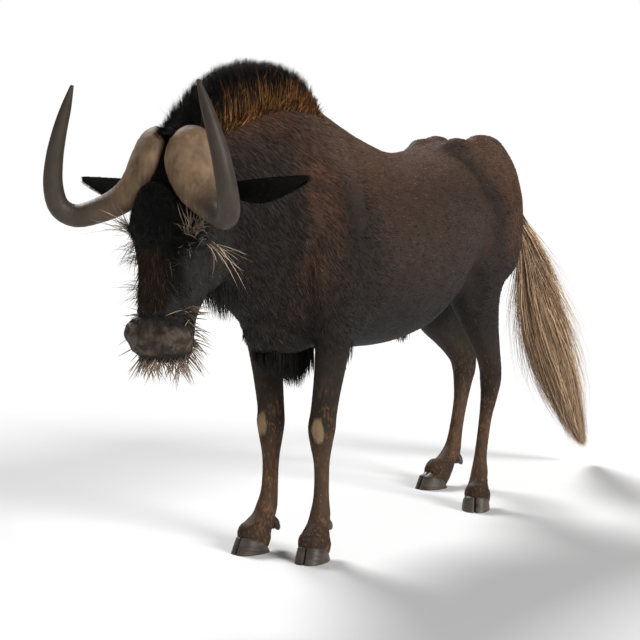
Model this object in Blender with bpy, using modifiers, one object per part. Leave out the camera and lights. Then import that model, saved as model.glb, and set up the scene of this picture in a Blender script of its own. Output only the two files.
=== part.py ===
"""A black wildebeest bull, life size and standing still, as a set of closed solids.

It stands on the floor plane z = 0 and faces -Y, with its left side towards +X.
Every length is in metres. Each flesh form is a loft through a few measured sections. The lofts
are fused and smoothed into one body, which thin cuts then part into the animal's named parts.
"""

import math
import random

import bmesh
import bpy
import numpy as np
from mathutils import Matrix, Vector
from mathutils.bvhtree import BVHTree

GAP = 0.0003  # the clearance between touching parts
FUSE_VOXEL = 0.007
SWELLING_SIDES = 16
BODY_SHARE = 0.0150  # the share of the fused skin's triangles that are kept
CENTRE_Y = 0.1364  # the middle of the whole length, which becomes y = 0

# Trunk and neck, poll to rump: y, top z, bottom z, half width, z of the widest line,
# and how square the upper and the lower half of the section are (2 is an ellipse).
TRUNK = [
    (-0.880, 1.005, 0.820, 0.050, 0.92, 2.0, 2.0),
    (-0.820, 1.035, 0.765, 0.078, 0.91, 2.0, 2.0),
    (-0.740, 1.078, 0.715, 0.092, 0.90, 1.8, 2.0),
    (-0.660, 1.112, 0.665, 0.106, 0.88, 1.7, 2.0),
    (-0.570, 1.138, 0.605, 0.136, 0.84, 1.6, 2.0),
    (-0.470, 1.152, 0.548, 0.166, 0.80, 1.5, 2.0),
    (-0.370, 1.148, 0.520, 0.186, 0.78, 1.45, 2.1),
    (-0.260, 1.120, 0.508, 0.198, 0.77, 1.5, 2.1),
    (-0.120, 1.066, 0.500, 0.208, 0.76, 1.65, 2.1),
    (0.030, 1.026, 0.500, 0.213, 0.76, 1.9, 2.1),
    (0.180, 1.026, 0.525, 0.207, 0.78, 2.0, 2.1),
    (0.320, 1.048, 0.590, 0.184, 0.81, 2.0, 2.0),
    (0.450, 1.062, 0.660, 0.165, 0.84, 2.1, 2.0),
    (0.570, 1.056, 0.720, 0.150, 0.87, 2.2, 2.0),
    (0.670, 1.020, 0.770, 0.126, 0.88, 2.2, 2.0),
    (0.735, 0.962, 0.790, 0.086, 0.87, 2.1, 2.0),
    (0.762, 0.915, 0.820, 0.045, 0.87, 2.0, 2.0),
]

# Head, crown to lip: z, nose-side y, throat-side y, half width, y of the widest line,
# and how square the nose side and the throat side are.
HEAD = [
    (1.046, -0.842, -0.780, 0.030, -0.81, 2.0, 2.0),
    (1.020, -0.868, -0.758, 0.056, -0.81, 2.1, 2.0),
    (0.985, -0.888, -0.740, 0.072, -0.81, 2.2, 2.0),
    (0.935, -0.905, -0.720, 0.082, -0.81, 2.3, 2.0),
    (0.885, -0.926, -0.705, 0.096, -0.82, 2.4, 2.0),
    (0.840, -0.938, -0.700, 0.103, -0.83, 2.5, 2.0),
    (0.795, -0.936, -0.700, 0.092, -0.83, 2.5, 2.0),
    (0.750, -0.936, -0.708, 0.076, -0.83, 2.6, 2.0),
    (0.710, -0.940, -0.730, 0.069, -0.84, 2.6, 2.0),
    (0.670, -0.942, -0.768, 0.064, -0.86, 2.6, 2.1),
    (0.635, -0.943, -0.802, 0.064, -0.88, 2.7, 2.2),
    (0.603, -0.945, -0.826, 0.071, -0.89, 2.8, 2.3),
    (0.575, -0.946, -0.838, 0.075, -0.892, 2.8, 2.3),
    (0.550, -0.938, -0.845, 0.071, -0.892, 2.6, 2.3),
    (0.533, -0.915, -0.862, 0.048, -0.890, 2.2, 2.2),
]

# Fore limb, shoulder to pastern: x, y, z of its middle line, half width, reach forwards, reach back.
FORE_LIMB = [
    (0.075, -0.345, 0.990, 0.040, 0.050, 0.050),
    (0.100, -0.375, 0.930, 0.052, 0.075, 0.075),
    (0.122, -0.400, 0.850, 0.060, 0.098, 0.100),
    (0.131, -0.408, 0.770, 0.062, 0.108, 0.110),
    (0.134, -0.392, 0.690, 0.058, 0.098, 0.104),
    (0.126, -0.375, 0.620, 0.052, 0.076, 0.085),
    (0.117, -0.366, 0.550, 0.045, 0.058, 0.060),
    (0.108, -0.364, 0.480, 0.039, 0.048, 0.046),
    (0.100, -0.367, 0.420, 0.035, 0.042, 0.040),
    (0.093, -0.370, 0.365, 0.034, 0.038, 0.036),
    (0.090, -0.374, 0.325, 0.0355, 0.040, 0.036),
    (0.088, -0.373, 0.285, 0.029, 0.034, 0.032),
    (0.087, -0.371, 0.240, 0.021, 0.026, 0.027),
    (0.086, -0.370, 0.190, 0.0195, 0.023, 0.026),
    (0.085, -0.371, 0.145, 0.021, 0.025, 0.028),
    (0.086, -0.376, 0.112, 0.026, 0.029, 0.032),
    (0.088, -0.388, 0.085, 0.026, 0.027, 0.028),
    (0.091, -0.401, 0.060, 0.033, 0.032, 0.031),
    (0.093, -0.409, 0.042, 0.036, 0.036, 0.032),
    (0.094, -0.412, 0.030, 0.034, 0.034, 0.030),
]

# Hind limb, loin to pastern, in the same columns.
HIND_LIMB = [
    (0.062, 0.415, 1.035, 0.035, 0.055, 0.075),
    (0.080, 0.460, 0.970, 0.068, 0.140, 0.175),
    (0.090, 0.480, 0.890, 0.086, 0.185, 0.212),
    (0.096, 0.470, 0.800, 0.091, 0.190, 0.210),
    (0.101, 0.435, 0.715, 0.086, 0.165, 0.172),
    (0.107, 0.420, 0.640, 0.073, 0.130, 0.115),
    (0.112, 0.432, 0.570, 0.057, 0.098, 0.090),
    (0.116, 0.455, 0.505, 0.045, 0.074, 0.072),
    (0.118, 0.478, 0.450, 0.037, 0.056, 0.060),
    (0.119, 0.494, 0.400, 0.034, 0.044, 0.056),
    (0.119, 0.497, 0.360, 0.033, 0.040, 0.044),
    (0.120, 0.486, 0.315, 0.027, 0.031, 0.034),
    (0.120, 0.466, 0.260, 0.021, 0.024, 0.028),
    (0.121, 0.444, 0.190, 0.0195, 0.022, 0.026),
    (0.122, 0.430, 0.140, 0.021, 0.025, 0.028),
    (0.125, 0.420, 0.105, 0.026, 0.029, 0.031),
    (0.129, 0.406, 0.080, 0.025, 0.027, 0.028),
    (0.132, 0.396, 0.058, 0.031, 0.031, 0.030),
    (0.135, 0.388, 0.042, 0.034, 0.035, 0.031),
    (0.137, 0.384, 0.030, 0.032, 0.033, 0.029),
]

# How the right limbs stand off from the left ones: z, step inwards, step back.
RIGHT_FORE_STEP = [
    (0.00, 0.006, 0.000),
    (0.11, 0.006, 0.004),
    (0.32, 0.012, 0.022),
    (0.60, 0.012, 0.018),
    (0.75, 0.0, 0.0),
]
RIGHT_HIND_STEP = [
    (0.00, 0.010, 0.228),
    (0.03, 0.010, 0.238),
    (0.06, 0.010, 0.262),
    (0.105, 0.008, 0.283),
    (0.26, 0.012, 0.275),
    (0.385, 0.015, 0.255),
    (0.48, 0.012, 0.205),
    (0.55, 0.008, 0.150),
    (0.62, 0.0, 0.095),
    (0.70, 0.0, 0.050),
    (0.80, 0.0, 0.018),
    (0.93, 0.0, 0.0),
]
LEFT_FORE_SPLAY = math.radians(6)  # how far the feet turn outwards
RIGHT_FORE_SPLAY = math.radians(15)
HIND_SPLAY = math.radians(24)
DEWCLAW_DROP = 0.032  # from the fetlock's middle down to the dewclaws
RIGHT_FORE_DROP = 0.050
DEWCLAW_BACK = 0.029
HOOF_LONG = 0.104
HOOF_WIDE = 0.039  # one claw
HOOF_TALL = 0.048  # at the toe
CLEFT = 0.0022

# Horn, boss to tip: x, y, z of its middle line, half breadth, half thickness.
HORN = [
    (0.046, -0.836, 1.047, 0.028, 0.018),
    (0.055, -0.852, 1.028, 0.046, 0.028),
    (0.060, -0.866, 0.992, 0.056, 0.034),
    (0.069, -0.874, 0.955, 0.054, 0.036),
    (0.090, -0.882, 0.920, 0.046, 0.034),
    (0.124, -0.892, 0.891, 0.037, 0.031),
    (0.170, -0.915, 0.868, 0.030, 0.028),
    (0.210, -0.942, 0.858, 0.026, 0.026),
    (0.236, -0.966, 0.878, 0.0245, 0.0245),
    (0.241, -0.980, 0.925, 0.0225, 0.0225),
    (0.231, -0.986, 0.985, 0.020, 0.020),
    (0.213, -0.988, 1.045, 0.0165, 0.0165),
    (0.193, -0.988, 1.098, 0.012, 0.012),
    (0.174, -0.988, 1.147, 0.004, 0.004),
]
BOSS_FACES = Vector((0.56, -0.78, 0.28))  # the way the broad side of the left boss looks

# Ear, root to tip: x, y, z of its middle line, half height, depth of the cup.
EAR = [
    (0.070, -0.770, 0.915, 0.010, 0.010),
    (0.105, -0.772, 0.916, 0.016, 0.014),
    (0.145, -0.778, 0.914, 0.023, 0.016),
    (0.185, -0.784, 0.914, 0.0265, 0.015),
    (0.225, -0.788, 0.919, 0.024, 0.012),
    (0.265, -0.790, 0.927, 0.018, 0.009),
    (0.300, -0.790, 0.936, 0.010, 0.006),
    (0.322, -0.790, 0.942, 0.003, 0.003),
]
EYE_CENTRE = Vector((0.080, -0.862, 0.809))
EYE_RADIUS = 0.0185

# Tail, dock to hair tip: x, y, z of its middle line, half width, half depth.
TAIL = [
    (0.000, 0.715, 0.915, 0.026, 0.024),
    (0.004, 0.790, 0.892, 0.027, 0.024),
    (0.012, 0.870, 0.835, 0.030, 0.028),
    (0.022, 0.930, 0.765, 0.038, 0.036),
    (0.032, 0.965, 0.680, 0.056, 0.056),
    (0.040, 0.985, 0.580, 0.070, 0.074),
    (0.050, 1.015, 0.475, 0.074, 0.082),
    (0.058, 1.060, 0.375, 0.067, 0.078),
    (0.066, 1.122, 0.275, 0.050, 0.062),
    (0.074, 1.190, 0.170, 0.028, 0.038),
    (0.080, 1.245, 0.095, 0.012, 0.016),
    (0.083, 1.276, 0.055, 0.003, 0.003),
]
TAIL_HAIR_FROM = 2.2  # rows of the table above the long hair
TAIL_CORE_ROW = (0.0, 2.2, 3.5, 7.0, 9.0)
TAIL_CORE_SHARE = (1.0, 1.0, 0.60, 0.45, 0.12)  # the core's share of the hair's whole width
TAIL_LOCKS = 16

# Mane, poll to withers: y, z of the tips, half width at the root, half width near the tips.
MANE = [
    (-0.862, 1.020, 0.020, 0.010),
    (-0.846, 1.052, 0.034, 0.018),
    (-0.788, 1.119, 0.046, 0.026),
    (-0.731, 1.167, 0.050, 0.028),
    (-0.653, 1.204, 0.052, 0.028),
    (-0.572, 1.222, 0.052, 0.027),
    (-0.468, 1.222, 0.048, 0.024),
    (-0.381, 1.196, 0.040, 0.019),
    (-0.320, 1.158, 0.026, 0.012),
    (-0.285, 1.130, 0.010, 0.006),
]


MANE_CORE = 0.42  # the core's share of the height of the mane
MANE_STATIONS = 13
MANE_LOCK = 0.0195  # half width
HANGING_LOCK = 0.0135
# Hanging locks: y of the root, y and z of the tip.
NECK_LOCKS = [
    (-0.622, -0.626, 0.552),
    (-0.585, -0.590, 0.515),
]
NECK_SPREAD = (-0.044, -0.015, 0.015, 0.044)
CHEST_LOCKS = [
    (-0.525, -0.516, 0.472),
    (-0.486, -0.470, 0.450),
    (-0.446, -0.428, 0.434),
    (-0.406, -0.386, 0.423),
    (-0.364, -0.348, 0.428),
    (-0.322, -0.312, 0.450),
]
CHEST_SPREAD = (-0.021, 0.0, 0.021)
THROAT_LOCKS = [
    (-0.694, -0.690, 0.604),
    (-0.664, -0.662, 0.596),
]
THROAT_SPREAD = (-0.026, 0.0, 0.026)
ELBOW_LOCKS = [(-0.212, -0.204, 0.470)]
ELBOW_SPREAD = (-0.105, -0.078, 0.078, 0.105)
BELLY_LOCKS = [
    (0.164, 0.168, 0.482),
    (0.192, 0.192, 0.472),
]
BELLY_SPREAD = (-0.009, 0.009)
BRUSH_TOP = 0.800
BRUSH_FOOT = 0.705
BRUSH_ROWS = 4
BRUSH_LOWEST = 0.667
BRUSH_WISPS = (0.765, 0.725)
# The nostrils and the openings of the lids, with their half sizes.
NOSTRIL = (0.069, -0.909, 0.619)
NOSTRIL_RADII = (0.008, 0.012, 0.0055)
LIDS = (0.098, -0.870, 0.810)
LID_RADII = (0.018, 0.015, 0.0085)

# The cuts that part the lower jaw and the muzzle from the head, seen from the side: y, z.
CHIN_OUTLINE = [(-0.940, 0.40), (-0.800, 0.650), (-0.766, 0.712), (-0.68, 0.712), (-0.68, 0.40)]
SNOUT_OUTLINE = [(-1.1, 0.38), (-1.1, 0.632), (-0.75, 0.690), (-0.75, 0.38)]

MOUTH_HEIGHT = 0.557  # of the line of the mouth, in front
MOUTH_RISE = 0.020
MOUTH_REACH = 112  # how far round it runs, in degrees
MOUTH_DEPTH = 0.0034
BRISTLE_RADIUS = 0.0016
BRISTLE_LENGTH = (0.038, 0.056)
# Rows of bristles round the muzzle: z, how many, how far round from the nose in degrees.
BRISTLE_ROWS = [(0.622, 4, 105), (0.596, 7, 108), (0.568, 7, 100), (0.546, 7, 82)]
# Bristles under the chin: x and y of the root.
CHIN_BRISTLES = [(x, y) for y in (-0.852, -0.843) for x in (-0.030, 0.0, 0.030)]
# Bristles at the eye: x and z of the root, and how far each heads outwards and up.
EYE_BRISTLES = [
    (0.060, 0.852, 0.55, 0.85),
    (0.076, 0.850, 0.90, 0.60),
    (0.078, 0.772, 1.30, -0.50),
    (0.070, 0.760, 1.10, -0.95),
]
TAIL_LOCK = 0.024


def clear_scene():
    for obj in list(bpy.data.objects):
        bpy.data.objects.remove(obj, do_unlink=True)


def smooth_rows(rows, steps):
    """Rows of a table with steps more between each two, on a Catmull-Rom spline."""
    table = np.array(rows, float)
    padded = np.vstack([2 * table[0] - table[1], table, 2 * table[-1] - table[-2]])
    made = []
    for i in range(len(table) - 1):
        before, start, end, after = padded[i : i + 4]
        for t in np.linspace(0, 1, steps, endpoint=False):
            made.append(
                0.5
                * (
                    2 * start
                    + (end - before) * t
                    + (2 * before - 5 * start + 4 * end - after) * t**2
                    + (3 * start - before - 3 * end + after) * t**3
                )
            )
    made.append(table[-1])
    return np.array(made)


def outline(half, middle, low, high, low_power, high_power, sides):
    """A section that is even about u = 0: its u and v, with v from low to high."""
    angle = np.linspace(0, 2 * math.pi, sides, endpoint=False)
    c, s = np.cos(angle), np.sin(angle)
    power = np.where(s >= 0, high_power, low_power)
    u = half * np.sign(c) * np.abs(c) ** (2 / power)
    reach = np.where(s >= 0, high - middle, middle - low)
    v = middle + reach * np.sign(s) * np.abs(s) ** (2 / power)
    return u, v


def new_object(name, mesh):
    obj = bpy.data.objects.new(name, mesh)
    bpy.context.scene.collection.objects.link(obj)
    return obj


def loft(name, rings):
    """A closed skin through rings of points, with a fan over each end."""
    bm = bmesh.new()
    grid = [[bm.verts.new(point) for point in ring] for ring in rings]
    sides = len(grid[0])
    for near, far in zip(grid, grid[1:]):
        for i in range(sides):
            j = (i + 1) % sides
            bm.faces.new((near[i], near[j], far[j], far[i]))
    for ring, turned in ((grid[0], True), (grid[-1], False)):
        middle = bm.verts.new(sum((v.co for v in ring), Vector()) / sides)
        for i in range(sides):
            j = (i + 1) % sides
            bm.faces.new((ring[j], ring[i], middle) if turned else (ring[i], ring[j], middle))
    bmesh.ops.recalc_face_normals(bm, faces=bm.faces)
    bmesh.ops.triangulate(bm, faces=bm.faces)
    mesh = bpy.data.meshes.new(name)
    bm.to_mesh(mesh)
    bm.free()
    return new_object(name, mesh)


def trunk_form():
    rings = []
    for y, top, bottom, half, widest, top_power, bottom_power in smooth_rows(TRUNK, 4):
        x, z = outline(half, widest, bottom, top, bottom_power, top_power, 40)
        rings.append(np.stack([x, np.full_like(x, y), z], axis=1))
    return loft("trunk_form", rings)


def head_form():
    rings = []
    for z, front, back, half, widest, front_power, back_power in smooth_rows(HEAD, 4):
        x, y = outline(half, widest, front, back, front_power, back_power, 36)
        rings.append(np.stack([x, y, np.full_like(x, z)], axis=1))
    return loft("head_form", rings)


def stepped(rows, steps):
    """A right limb's rows, stood off from the left one's by the named steps."""
    height, inward, back = np.array(steps).T
    made = []
    for x, y, z, *reach in rows:
        made.append((x - np.interp(z, height, inward), y + np.interp(z, height, back), z, *reach))
    return made


def limb_form(name, rows, side, splay):
    """A limb whose sections lie square to its middle line and turn outwards towards the foot."""
    rings = []
    table = smooth_rows(rows, 4)
    along = np.gradient(table[:, :3], axis=0)
    for (x, y, z, across, front, back), run in zip(table, along):
        run = Vector((side * run[0], run[1], run[2])).normalized()
        turn = splay * min(1.0, max(0.0, (0.62 - z) / 0.30))
        ahead = run.cross(Vector((math.cos(turn), side * math.sin(turn), 0.0))).normalized()
        sideways = ahead.cross(run)
        u, v = outline(across, 0.0, -back, front, 2.2, 2.2, 24)
        centre = np.array((side * x, y, z))
        rings.append(centre + np.outer(u, sideways) + np.outer(v, ahead))
    return loft(name, rings)


def swelling(name, centre, radii, lean=(0.0, 0.0, 0.0)):
    """A muscle or a bone that rounds the skin: an ellipsoid."""
    rings = SWELLING_SIDES // 2
    bpy.ops.mesh.primitive_uv_sphere_add(segments=SWELLING_SIDES, ring_count=rings, radius=1.0)
    obj = bpy.context.object
    obj.name = name
    turn = Matrix.Rotation(lean[2], 4, "Z")
    turn = turn @ Matrix.Rotation(lean[1], 4, "Y") @ Matrix.Rotation(lean[0], 4, "X")
    obj.data.transform(Matrix.Translation(centre) @ turn @ Matrix.Diagonal((*radii, 1.0)))
    return obj


def both_sides(name, centre, radii, lean=(0.0, 0.0, 0.0)):
    """The same swelling on the left and, mirrored, on the right."""
    x, y, z = centre
    return [
        swelling(name + "_l", (x, y, z), radii, lean),
        swelling(name + "_r", (-x, y, z), radii, (lean[0], -lean[1], -lean[2])),
    ]


def apply_modifiers(obj):
    graph = bpy.context.evaluated_depsgraph_get()
    made = bpy.data.meshes.new_from_object(obj.evaluated_get(graph))
    obj.modifiers.clear()
    obj.data = made
    return obj


def join(name, objects):
    """The meshes of several objects in one, still overlapping."""
    bm = bmesh.new()
    for obj in objects:
        bm.from_mesh(obj.data)
        bpy.data.objects.remove(obj, do_unlink=True)
    mesh = bpy.data.meshes.new(name)
    bm.to_mesh(mesh)
    bm.free()
    return new_object(name, mesh)


def fused_body():
    """Trunk, head and limbs as one smooth skin."""
    forms = [trunk_form(), head_form()]
    forms.append(limb_form("fore_left", FORE_LIMB, 1, LEFT_FORE_SPLAY))
    forms.append(limb_form("fore_right", stepped(FORE_LIMB, RIGHT_FORE_STEP), -1, RIGHT_FORE_SPLAY))
    forms.append(limb_form("hind_left", HIND_LIMB, 1, HIND_SPLAY))
    forms.append(limb_form("hind_right", stepped(HIND_LIMB, RIGHT_HIND_STEP), -1, HIND_SPLAY))
    forms += both_sides("croup", (0.054, 0.40, 1.022), (0.045, 0.105, 0.052))
    forms += both_sides("cheek", (0.047, -0.785, 0.765), (0.034, 0.070, 0.080))
    forms += both_sides("nostril", (0.050, -0.920, 0.602), (0.027, 0.026, 0.028))
    forms += both_sides("elbow", (0.135, -0.300, 0.600), (0.035, 0.050, 0.060))
    forms.append(swelling("brow_pad", (0.0, -0.919, 0.868), (0.058, 0.026, 0.070)))
    forms += both_sides("eye_rim", EYE_CENTRE, (0.026, 0.030, 0.026))
    forms.append(swelling("brisket", (0.0, -0.41, 0.565), (0.075, 0.15, 0.062)))
    body = join("body", forms)
    fuse = body.modifiers.new("fuse", "REMESH")
    fuse.mode = "VOXEL"
    fuse.voxel_size = FUSE_VOXEL
    apply_modifiers(body)
    soften(body)
    return body


def fineness(point):
    """How much a point belongs to the head: 1 on the face, 0 on the trunk."""
    return min(1.0, max(0.0, (-0.72 - point.y) / 0.08))


def soften(body):
    """Rounds the creases where the forms meet, more on the trunk than on the legs and the face."""
    group = body.vertex_groups.new(name="soften")
    for vertex in body.data.vertices:
        height = min(1.0, max(0.0, (vertex.co.z - 0.42) / 0.15))
        group.add([vertex.index], 0.10 + 0.90 * height * (1.0 - 0.9 * fineness(vertex.co)), "REPLACE")
    smooth = body.modifiers.new("smooth", "SMOOTH")
    smooth.factor = 0.5
    smooth.iterations = 22
    smooth.vertex_group = group.name
    apply_modifiers(body)


def thin_out(body):
    """Keeps the named share of the triangles, most of them where the skin curves."""
    thin = body.modifiers.new("thin", "DECIMATE")
    thin.ratio = BODY_SHARE
    thin.use_collapse_triangulate = True
    apply_modifiers(body)


def horn_form(name, side):
    rings = []
    table = smooth_rows(HORN, 2)
    along = np.gradient(table[:, :3], axis=0)
    face = BOSS_FACES
    for (x, y, z, broad, thick), run in zip(table, along):
        run = Vector(run).normalized()
        face = (face - run * face.dot(run)).normalized()
        across = face.cross(run)
        u, v = outline(broad, 0.0, -thick, thick, 2.0, 2.0, 9)
        ring = np.array((x, y, z)) + np.outer(u, across) + np.outer(v, face)
        rings.append(ring * np.array((side, 1, 1)))
    return loft(name, rings)


def ear_form(name, side):
    """A leaf-shaped shell, hollowed towards the front."""
    rings = []
    for x, y, z, tall, deep in smooth_rows(EAR, 2):
        spread = np.linspace(0, math.pi, 5)
        outer = np.stack([np.full(5, x), y + deep * np.sin(spread), z + tall * np.cos(spread)], axis=1)
        inset = np.linspace(math.pi, 0, 5)[1:-1]
        hollow = deep * 0.55 if x > 0.09 else -deep * 0.5
        cup_y = y + hollow * np.sin(inset)
        cup_z = z + tall * 0.86 * np.cos(inset)
        inner = np.stack([np.full(3, x), cup_y, cup_z], axis=1)
        rings.append(np.vstack([outer, inner]) * np.array((side, 1, 1)))
    return loft(name, rings)


def eye_form(name, side):
    x, y, z = EYE_CENTRE
    bpy.ops.mesh.primitive_uv_sphere_add(segments=10, ring_count=7, radius=EYE_RADIUS, location=(0, 0, 0))
    obj = bpy.context.object
    obj.name = name
    obj.data.transform(Matrix.Translation((side * x, y, z)) @ Matrix.Rotation(math.pi / 2, 4, "Y"))
    return obj


def foot_frame(limb, steps, side, splay):
    """Where a foot stands on the floor and which way it points."""
    x, y = limb[-1][0] + 0.002, limb[-1][1] - 0.014
    inward, back = (steps[0][1], steps[0][2]) if steps else (0.0, 0.0)
    centre = Vector((side * (x - inward), y + back, 0.0))
    toe = Vector((side * math.sin(splay), -math.cos(splay), 0.0))
    return centre, toe


# The rings of a claw, sole to coronet: share of the height, narrowing, rise of the closing ring.
CLAW_RINGS = [
    (0.0, 1.0, 0.0),
    (0.35, 0.985, 0.0),
    (0.8, 0.93, 0.0),
    (1.0, 0.86, 0.0),
    (1.0, 0.55, 0.006),
]


def claw_form(name, centre, toe, outward):
    """One claw of a cloven hoof: flat below, a steep toe, and a straight side along the cleft."""
    inner = []
    for s in np.linspace(-0.42, 0.50, 4) * HOOF_LONG:
        inner.append((s, CLEFT / 2 + 0.003 * max(0.0, s) / HOOF_LONG))
    outer = []
    for t in np.linspace(0, math.pi, 9)[1:-1]:
        reach = 0.52 if math.cos(t) > 0 else 0.46
        outer.append((reach * HOOF_LONG * math.cos(t), CLEFT / 2 + HOOF_WIDE * math.sin(t) ** 0.75))
    rings = []
    for share, squeeze, lift in CLAW_RINGS:
        ring = []
        for s, w in inner + outer:
            height = HOOF_TALL * (0.70 + 0.60 * s / HOOF_LONG) * share + lift
            back = 0.42 * HOOF_LONG
            along = (s + back) * (1 - 0.30 * share)
            if lift:
                along = along * squeeze + 0.012
            along += 0.01 * share - back
            across = CLEFT / 2 + (w - CLEFT / 2) * squeeze + (0.006 if lift else 0)
            ring.append(centre + toe * along + outward * across + Vector((0, 0, height)))
        rings.append(ring)
    return loft(name, rings)


def dewclaw_form(name, place, toe, outward):
    """A small blunt claw behind the fetlock, pointing down and back."""
    bpy.ops.mesh.primitive_uv_sphere_add(segments=6, ring_count=5, radius=1.0, location=(0, 0, 0))
    obj = bpy.context.object
    obj.name = name
    down = (Vector((0, 0, -1)) - toe * 0.45 + outward * 0.15).normalized()
    turn = down.to_track_quat("Z", "Y").to_matrix().to_4x4()
    obj.data.transform(Matrix.Translation(place) @ turn @ Matrix.Diagonal((0.010, 0.010, 0.019, 1.0)))
    return obj


def tail_form(name):
    """The dock and, below it, the core that the long hair grows from."""
    rings = []
    table = smooth_rows(TAIL, 2)
    row = np.arange(len(table)) / 2
    share = np.interp(row, TAIL_CORE_ROW, TAIL_CORE_SHARE)
    table[:, 3:] *= share[:, None]
    table = table[row <= TAIL_CORE_ROW[-1]]
    along = np.gradient(table[:, :3], axis=0)
    for (x, y, z, wide, deep), run in zip(table, along):
        run = Vector(run).normalized()
        across = (Vector((1, 0, 0)) - run * run.x).normalized()
        behind = run.cross(across)
        u, v = outline(wide, 0.0, -deep, deep, 2.0, 2.0, 10)
        rings.append(np.array((x, y, z)) + np.outer(u, across) + np.outer(v, behind))
    return loft(name, rings)


def lock_form(name, path, wide, thick, facing):
    """A flat lock along a path: lens-shaped across, widest a third of the way out, with a pointed tip."""
    path = np.array(path, float)
    rings = []
    count = len(path) - 1
    for i in range(count):
        t = i / count
        run = Vector(path[i + 1] - path[max(0, i - 1)]).normalized()
        across = run.cross(Vector(facing)).normalized()
        flat = across.cross(run)
        half = wide * (0.80 + 0.60 * t) if t < 0.34 else wide * (1.0 - ((t - 0.34) / 0.66) ** 1.6)
        deep = thick * (1.0 - 0.75 * t)
        ring = [Vector(path[i]) + across * half, Vector(path[i]) + flat * deep]
        ring += [Vector(path[i]) - across * half, Vector(path[i]) - flat * deep]
        rings.append(ring)
    return pointed(name, rings, path[-1])


def pointed(name, rings, tip):
    """A closed form through rings, flat at the root and drawn to one point at the tip."""
    bm = bmesh.new()
    grid = [[bm.verts.new(point) for point in ring] for ring in rings]
    sides = len(grid[0])
    bm.faces.new(grid[0])
    for near, far in zip(grid, grid[1:]):
        for i in range(sides):
            j = (i + 1) % sides
            bm.faces.new((near[i], near[j], far[j], far[i]))
    end = bm.verts.new(tip)
    for i in range(sides):
        bm.faces.new((grid[-1][i], grid[-1][(i + 1) % sides], end))
    bmesh.ops.recalc_face_normals(bm, faces=bm.faces)
    bmesh.ops.triangulate(bm, faces=bm.faces)
    mesh = bpy.data.meshes.new(name)
    bm.to_mesh(mesh)
    bm.free()
    return new_object(name, mesh)


def bristle_form(name, root, heading, length, droop):
    """A stiff bristle of three sides, bent down a little towards its tip."""
    heading = Vector(heading).normalized()
    across = heading.cross(Vector((0.3, 0.2, 1.0))).normalized()
    other = heading.cross(across)
    rings = []
    for t in (0.0, 0.45, 0.8):
        centre = Vector(root) + heading * length * t + Vector((0, 0, -droop * length * t * t))
        radius = BRISTLE_RADIUS * (1.0 - 0.6 * t)
        turns = [2 * math.pi * k / 3 for k in range(3)]
        rings.append([centre + across * radius * math.cos(a) + other * radius * math.sin(a) for a in turns])
    tip = Vector(root) + heading * length + Vector((0, 0, -droop * length))
    return pointed(name, rings, tip)


def swept(root, tip, bulge, count):
    """A path from root to tip that bows aside by the bulge half way along."""
    t = np.linspace(0, 1, count + 1)[:, None]
    return np.array(root) * (1 - t) + np.array(tip) * t + np.array(bulge) * 4 * t * (1 - t)


def crest_height(y):
    """The height of the crest of the neck or the poll at a station."""
    trunk = smooth_rows(TRUNK, 4)
    return max(np.interp(y, trunk[:, 0], trunk[:, 1]), 1.035 if y < -0.775 else 0.0)


def mane_core(name):
    """The dense root of the standing mane, under half as high as the hair."""
    rings = []
    for y, tips, root_half, tip_half in smooth_rows(MANE, 1):
        crest = crest_height(y)
        top = crest + MANE_CORE * (tips - crest)
        ring = [(root_half * 0.7, crest - 0.05), (root_half * 0.75, crest - 0.01), (tip_half * 0.8, top)]
        ring.append((0.0, top + 0.003))
        right = ring + [(-x, z) for x, z in reversed(ring[:-1])]
        rings.append([(x, y, z) for x, z in right])
    return loft(name, rings)


def mane_locks(chance):
    """Rows of flat locks that stand along the crest and lean over one another towards the withers."""
    made = []
    rows = smooth_rows(MANE, 1)
    for k, aside in enumerate((-1.0, 0.0, 1.0)):
        for station in np.linspace(-0.848, -0.340, MANE_STATIONS) + 0.013 * (k % 2):
            tips, root_half, tip_half = (np.interp(station, rows[:, 0], rows[:, c]) for c in (1, 2, 3))
            crest = crest_height(station)
            reach = 1.0 if abs(aside) < 0.5 else 0.86
            high = crest + (tips - crest) * reach * chance.uniform(0.90, 1.0)
            lean = np.interp(station, (-0.86, -0.79, -0.33), (-0.020, 0.004, 0.020))
            lean += chance.uniform(-0.004, 0.008)
            root = (aside * root_half * 0.62, station, crest - 0.024 - 0.012 * abs(aside))
            tip = (aside * (tip_half + 0.006) + chance.uniform(-0.005, 0.005), station + lean, high)
            bulge = (aside * 0.006, -0.4 * lean, 0.0)
            facing = (aside + 0.01, 0.15, 0.0)
            made.append(lock_form("mane_lock", swept(root, tip, bulge, 3), MANE_LOCK, 0.005, facing))
    return made


def lip_groove(tree):
    """A bent rod along the lips, that the line of the mouth is cut with."""
    rings = []
    turns = np.linspace(0, 2 * math.pi, 6)[:-1]
    for angle in np.radians(np.linspace(-MOUTH_REACH, MOUTH_REACH, 11)):
        out = Vector((math.sin(angle), -math.cos(angle), 0))
        height = MOUTH_HEIGHT + MOUTH_RISE * (angle / math.radians(MOUTH_REACH)) ** 2
        skin = tree.ray_cast(Vector((0, -0.890, height)) + out * 0.3, -out)[0]
        ring = [skin + (out * math.cos(a) + Vector((0, 0, 1)) * math.sin(a)) * MOUTH_DEPTH for a in turns]
        rings.append(ring)
    return loft("lip_groove", rings)


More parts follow.
